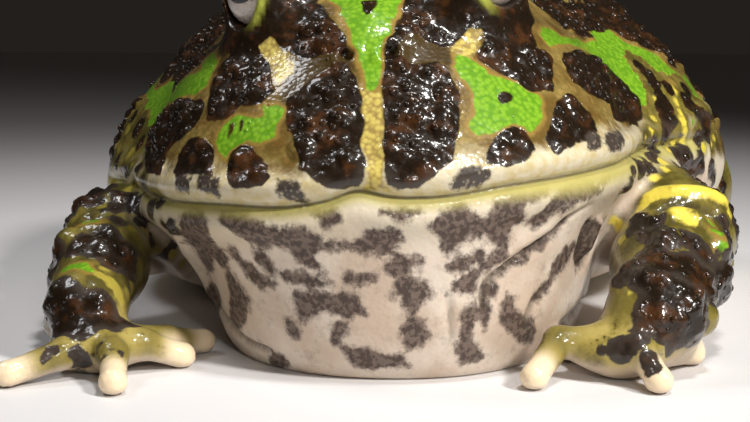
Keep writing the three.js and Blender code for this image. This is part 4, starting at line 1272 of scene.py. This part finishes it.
def beadTree():
    tree = bpy.data.node_groups.new("beads on skin", "GeometryNodeTree")
    tree.interface.new_socket("Skin", in_out="INPUT", socket_type="NodeSocketGeometry")
    for name in ("Spacing", "Radius", "Flatness", "Least", "Most"):
        tree.interface.new_socket(name, in_out="INPUT", socket_type="NodeSocketFloat")
    for name in ("Sides", "Rows", "Seed"):
        tree.interface.new_socket(name, in_out="INPUT", socket_type="NodeSocketInt")
    tree.interface.new_socket("Look", in_out="INPUT", socket_type="NodeSocketMaterial")
    tree.interface.new_socket("Beads", in_out="OUTPUT", socket_type="NodeSocketGeometry")
    given = tree.nodes.new("NodeGroupInput").outputs
    size = wire(tree, "GeometryNodeInputNamedAttribute", data_type="FLOAT", in_Name="bead").outputs[0]
    crowd = maths(tree, "DIVIDE", 0.9, maths(tree, "MULTIPLY", given["Spacing"], given["Spacing"]))
    scatter = wire(tree, "GeometryNodeDistributePointsOnFaces", distribute_method="POISSON",
                   in_Mesh=given["Skin"], in_Distance_Min=given["Spacing"], in_Density_Max=crowd,
                   in_Density_Factor=edge(tree, size, 0.08, 0.4), in_Seed=given["Seed"])
    rooted = wire(tree, "GeometryNodeStoreNamedAttribute", data_type="FLOAT_VECTOR", domain="POINT",
                  in_Geometry=scatter.outputs["Points"], in_Name="root",
                  in_Value=tree.nodes.new("GeometryNodeInputPosition").outputs[0])
    pearl = wire(tree, "GeometryNodeMeshUVSphere", in_Segments=given["Sides"], in_Rings=given["Rows"],
                 in_Radius=given["Radius"])
    low = wire(tree, "ShaderNodeCombineXYZ", in_X=1.0, in_Y=1.0, in_Z=given["Flatness"])
    sunk = wire(tree, "ShaderNodeCombineXYZ", in_Z=maths(tree, "MULTIPLY", given["Radius"], -0.2))
    button = wire(tree, "GeometryNodeTransform", in_Geometry=pearl.outputs[0], in_Translation=sunk.outputs[0],
                  in_Scale=low.outputs[0])
    varied = wire(tree, "FunctionNodeRandomValue", data_type="FLOAT", in_2=given["Least"], in_3=given["Most"],
                  in_Seed=given["Seed"])
    grown = maths(tree, "MULTIPLY", varied.outputs[1], edge(tree, size, 0.0, 1.0, 0.45, 1.0))
    placed = wire(tree, "GeometryNodeInstanceOnPoints", in_Points=rooted.outputs[0],
                  in_Instance=button.outputs[0], in_Rotation=scatter.outputs["Rotation"], in_Scale=grown)
    real = wire(tree, "GeometryNodeRealizeInstances", in_Geometry=placed.outputs[0])
    smooth = wire(tree, "GeometryNodeSetShadeSmooth", in_Geometry=real.outputs[0])
    dressed = wire(tree, "GeometryNodeSetMaterial", in_Geometry=smooth.outputs[0], in_Material=given["Look"])
    end = tree.nodes.new("NodeGroupOutput")
    tree.links.new(dressed.outputs[0], end.inputs["Beads"])
    return tree


# a map of the beads: each lies in a small patch at its root's azimuth and height round the body's middle
def beadMap(mesh):
    count = len(mesh.vertices)
    at, root = np.zeros(count * 3, np.float32), np.zeros(count * 3, np.float32)
    mesh.vertices.foreach_get("co", at)
    mesh.attributes["root"].data.foreach_get("vector", root)
    at, root = at.reshape(-1, 3), root.reshape(-1, 3)
    out = root - np.array(beadPatch["middle"])
    level = np.hypot(out[:, 0], out[:, 1]) + 1e-9
    azimuth, climb = np.arctan2(out[:, 0], -out[:, 1]), np.arctan2(out[:, 2], level)
    sideways = np.stack([-out[:, 1], out[:, 0], 0 * level], 1) / level[:, None]
    away = at - root
    reach, onMap, filled = beadPatch["reach"], beadPatch["onMap"], beadPatch["filled"]
    across = np.sum(away * sideways, axis=1) / reach * onMap
    upward = away[:, 2] / reach * onMap
    flat = np.stack([0.5 + azimuth / (2 * math.pi) * filled + across,
                     0.5 + climb / math.pi * filled + upward], 1)
    corner = np.zeros(len(mesh.loops), np.int32)
    mesh.loops.foreach_get("vertex_index", corner)
    layer = mesh.uv_layers.new(name="OFBake")
    layer.data.foreach_set("uv", np.ascontiguousarray(flat[corner], np.float32).ravel())
    mesh.attributes.remove(mesh.attributes["root"])


# the skin's faces that carry one piece of beads: the face, the back, or the limbs and lower flanks
def facesWhere(where):
    q = toTrunk(corners[quads].mean(1))
    onLimb = marks["limb"][quads].mean(1)
    face = (q[:, 1] < -12) & (onLimb < 0.5)
    if where == "face":
        return face
    sides = (onLimb >= 0.5) | (q[:, 2] < 24)
    return ~face & sides if where == "sides" else ~face & ~sides


def makeBeads(name, tree):
    chosen = quads[facesWhere(beads[name]["where"])]
    kept, place = np.unique(chosen, return_inverse=True)
    local = {mark: values[kept] for mark, values in marks.items()}
    mesh = smoothMesh(name + " ground", toScene(corners[kept]), place.reshape(chosen.shape), local)
    carrier = addObject(name + " ground", mesh)
    modifier = carrier.modifiers.new("beads", "NODES")
    modifier.node_group = tree
    settings = {**beadShape, **{k: v for k, v in beads[name].items() if k != "where"}, "Look": skinLook}
    for item in tree.interface.items_tree:
        if item.in_out == "INPUT" and item.name in settings:
            modifier[item.identifier] = settings[item.name]
    ready = carrier.evaluated_get(bpy.context.evaluated_depsgraph_get())
    made = bpy.data.meshes.new_from_object(ready)
    made.name = name
    bpy.data.objects.remove(carrier)
    beadMap(made)
    piece = addObject(name, made)
    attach(piece, "root")
    say(f"{name}: {sum(len(p.vertices) - 2 for p in made.polygons)} triangles")


beadNodes = beadTree()
for name in beads:
    makeBeads(name, beadNodes)

# Eyes
eyes = {
    "segments": 64, "rings": 40, "look": (0.52, -0.85, 0.02), "pupilWide": 1.8, "pupilHigh": 1.1,
    "irisPale": (0.62, 0.53, 0.47), "irisBrown": (0.34, 0.25, 0.19), "irisEdge": (0.20, 0.16, 0.13),
    "pupil": (0.004, 0.005, 0.007), "behind": (0.02, 0.015, 0.01), "roughness": 0.25, "coatRoughness": 0.02,
}


def eyeMaterial(name, middle, look):
    material = bpy.data.materials.new(name)
    material.use_nodes = True
    tree = material.node_tree
    shader = tree.nodes["Principled BSDF"]
    coords = wire(tree, "ShaderNodeTexCoord").outputs["Object"]
    side = look.cross(Vector((0, 0, 1))).normalized()
    up = side.cross(look).normalized()
    away = wire(tree, "ShaderNodeVectorMath", operation="SUBTRACT", in_0=coords, in_1=middle).outputs[0]

    def along(axis):
        dot = wire(tree, "ShaderNodeVectorMath", operation="DOT_PRODUCT", in_0=away, in_1=axis)
        return maths(tree, "MULTIPLY", dot.outputs["Value"], 1000.0)

    x, y, z = along(side), along(up), along(look)

    def square(value, half):
        return maths(tree, "POWER", maths(tree, "ABSOLUTE", maths(tree, "DIVIDE", value, half)), 2.0)

    oval = maths(tree, "ADD", square(x, eyes["pupilWide"]), square(y, eyes["pupilHigh"]))
    veins = wire(tree, "ShaderNodeTexNoise", in_Vector=away, in_Scale=1500.0, in_Detail=6.0,
                 in_Roughness=0.7).outputs[0]
    iris = mixColour(tree, edge(tree, veins, 0.45, 0.7), eyes["irisPale"], eyes["irisBrown"])
    iris = mixColour(tree, edge(tree, z, 3.1, 2.0), iris, eyes["irisEdge"])
    colour = mixColour(tree, edge(tree, oval, 1.1, 0.95), iris, eyes["pupil"])
    colour = mixColour(tree, edge(tree, z, 1.6, 0.6), colour, eyes["behind"])
    tree.links.new(colour, shader.inputs["Base Color"])
    shader.inputs["Roughness"].default_value = eyes["roughness"]
    shader.inputs["Coat Weight"].default_value = 1.0
    shader.inputs["Coat Roughness"].default_value = eyes["coatRoughness"]
    return material


def makeEye(s):
    middle = toScene(np.array([fromTrunk(eyeAt(s))]))[0]
    rings, segments, radius = eyes["rings"], eyes["segments"], frog["eyeRadius"] / 1000
    points, faces = [], []
    for i in range(1, rings):
        a = math.pi * i / rings
        for j in range(segments):
            b = 2 * math.pi * j / segments
            points.append((middle[0] + radius * math.sin(a) * math.cos(b),
                           middle[1] + radius * math.sin(a) * math.sin(b),
                           middle[2] + radius * math.cos(a)))
    for i in range(rings - 2):
        for j in range(segments):
            k = (j + 1) % segments
            faces.append((i * segments + j, (i + 1) * segments + j, (i + 1) * segments + k, i * segments + k))
    top, bottom = len(points), len(points) + 1
    points += [(middle[0], middle[1], middle[2] + radius), (middle[0], middle[1], middle[2] - radius)]
    last = (rings - 2) * segments
    for j in range(segments):
        k = (j + 1) % segments
        faces += [(top, j, k), (bottom, last + k, last + j)]
    mesh = bpy.data.meshes.new("eye")
    mesh.from_pydata(points, [], faces)
    mesh.polygons.foreach_set("use_smooth", np.ones(len(faces), bool))
    side = "left" if s > 0 else "right"
    look = Vector(fromTrunk(np.array(eyes["look"]) * (s, 1, 1))).normalized()
    mesh.materials.append(eyeMaterial(f"eye {side}", tuple(middle), look))
    piece = addObject(f"eyeball_{side}", mesh)
    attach(piece, "root")
    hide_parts(f"eye_{side}")


for s in (-1, 1):
    makeEye(s)
say("eyes")
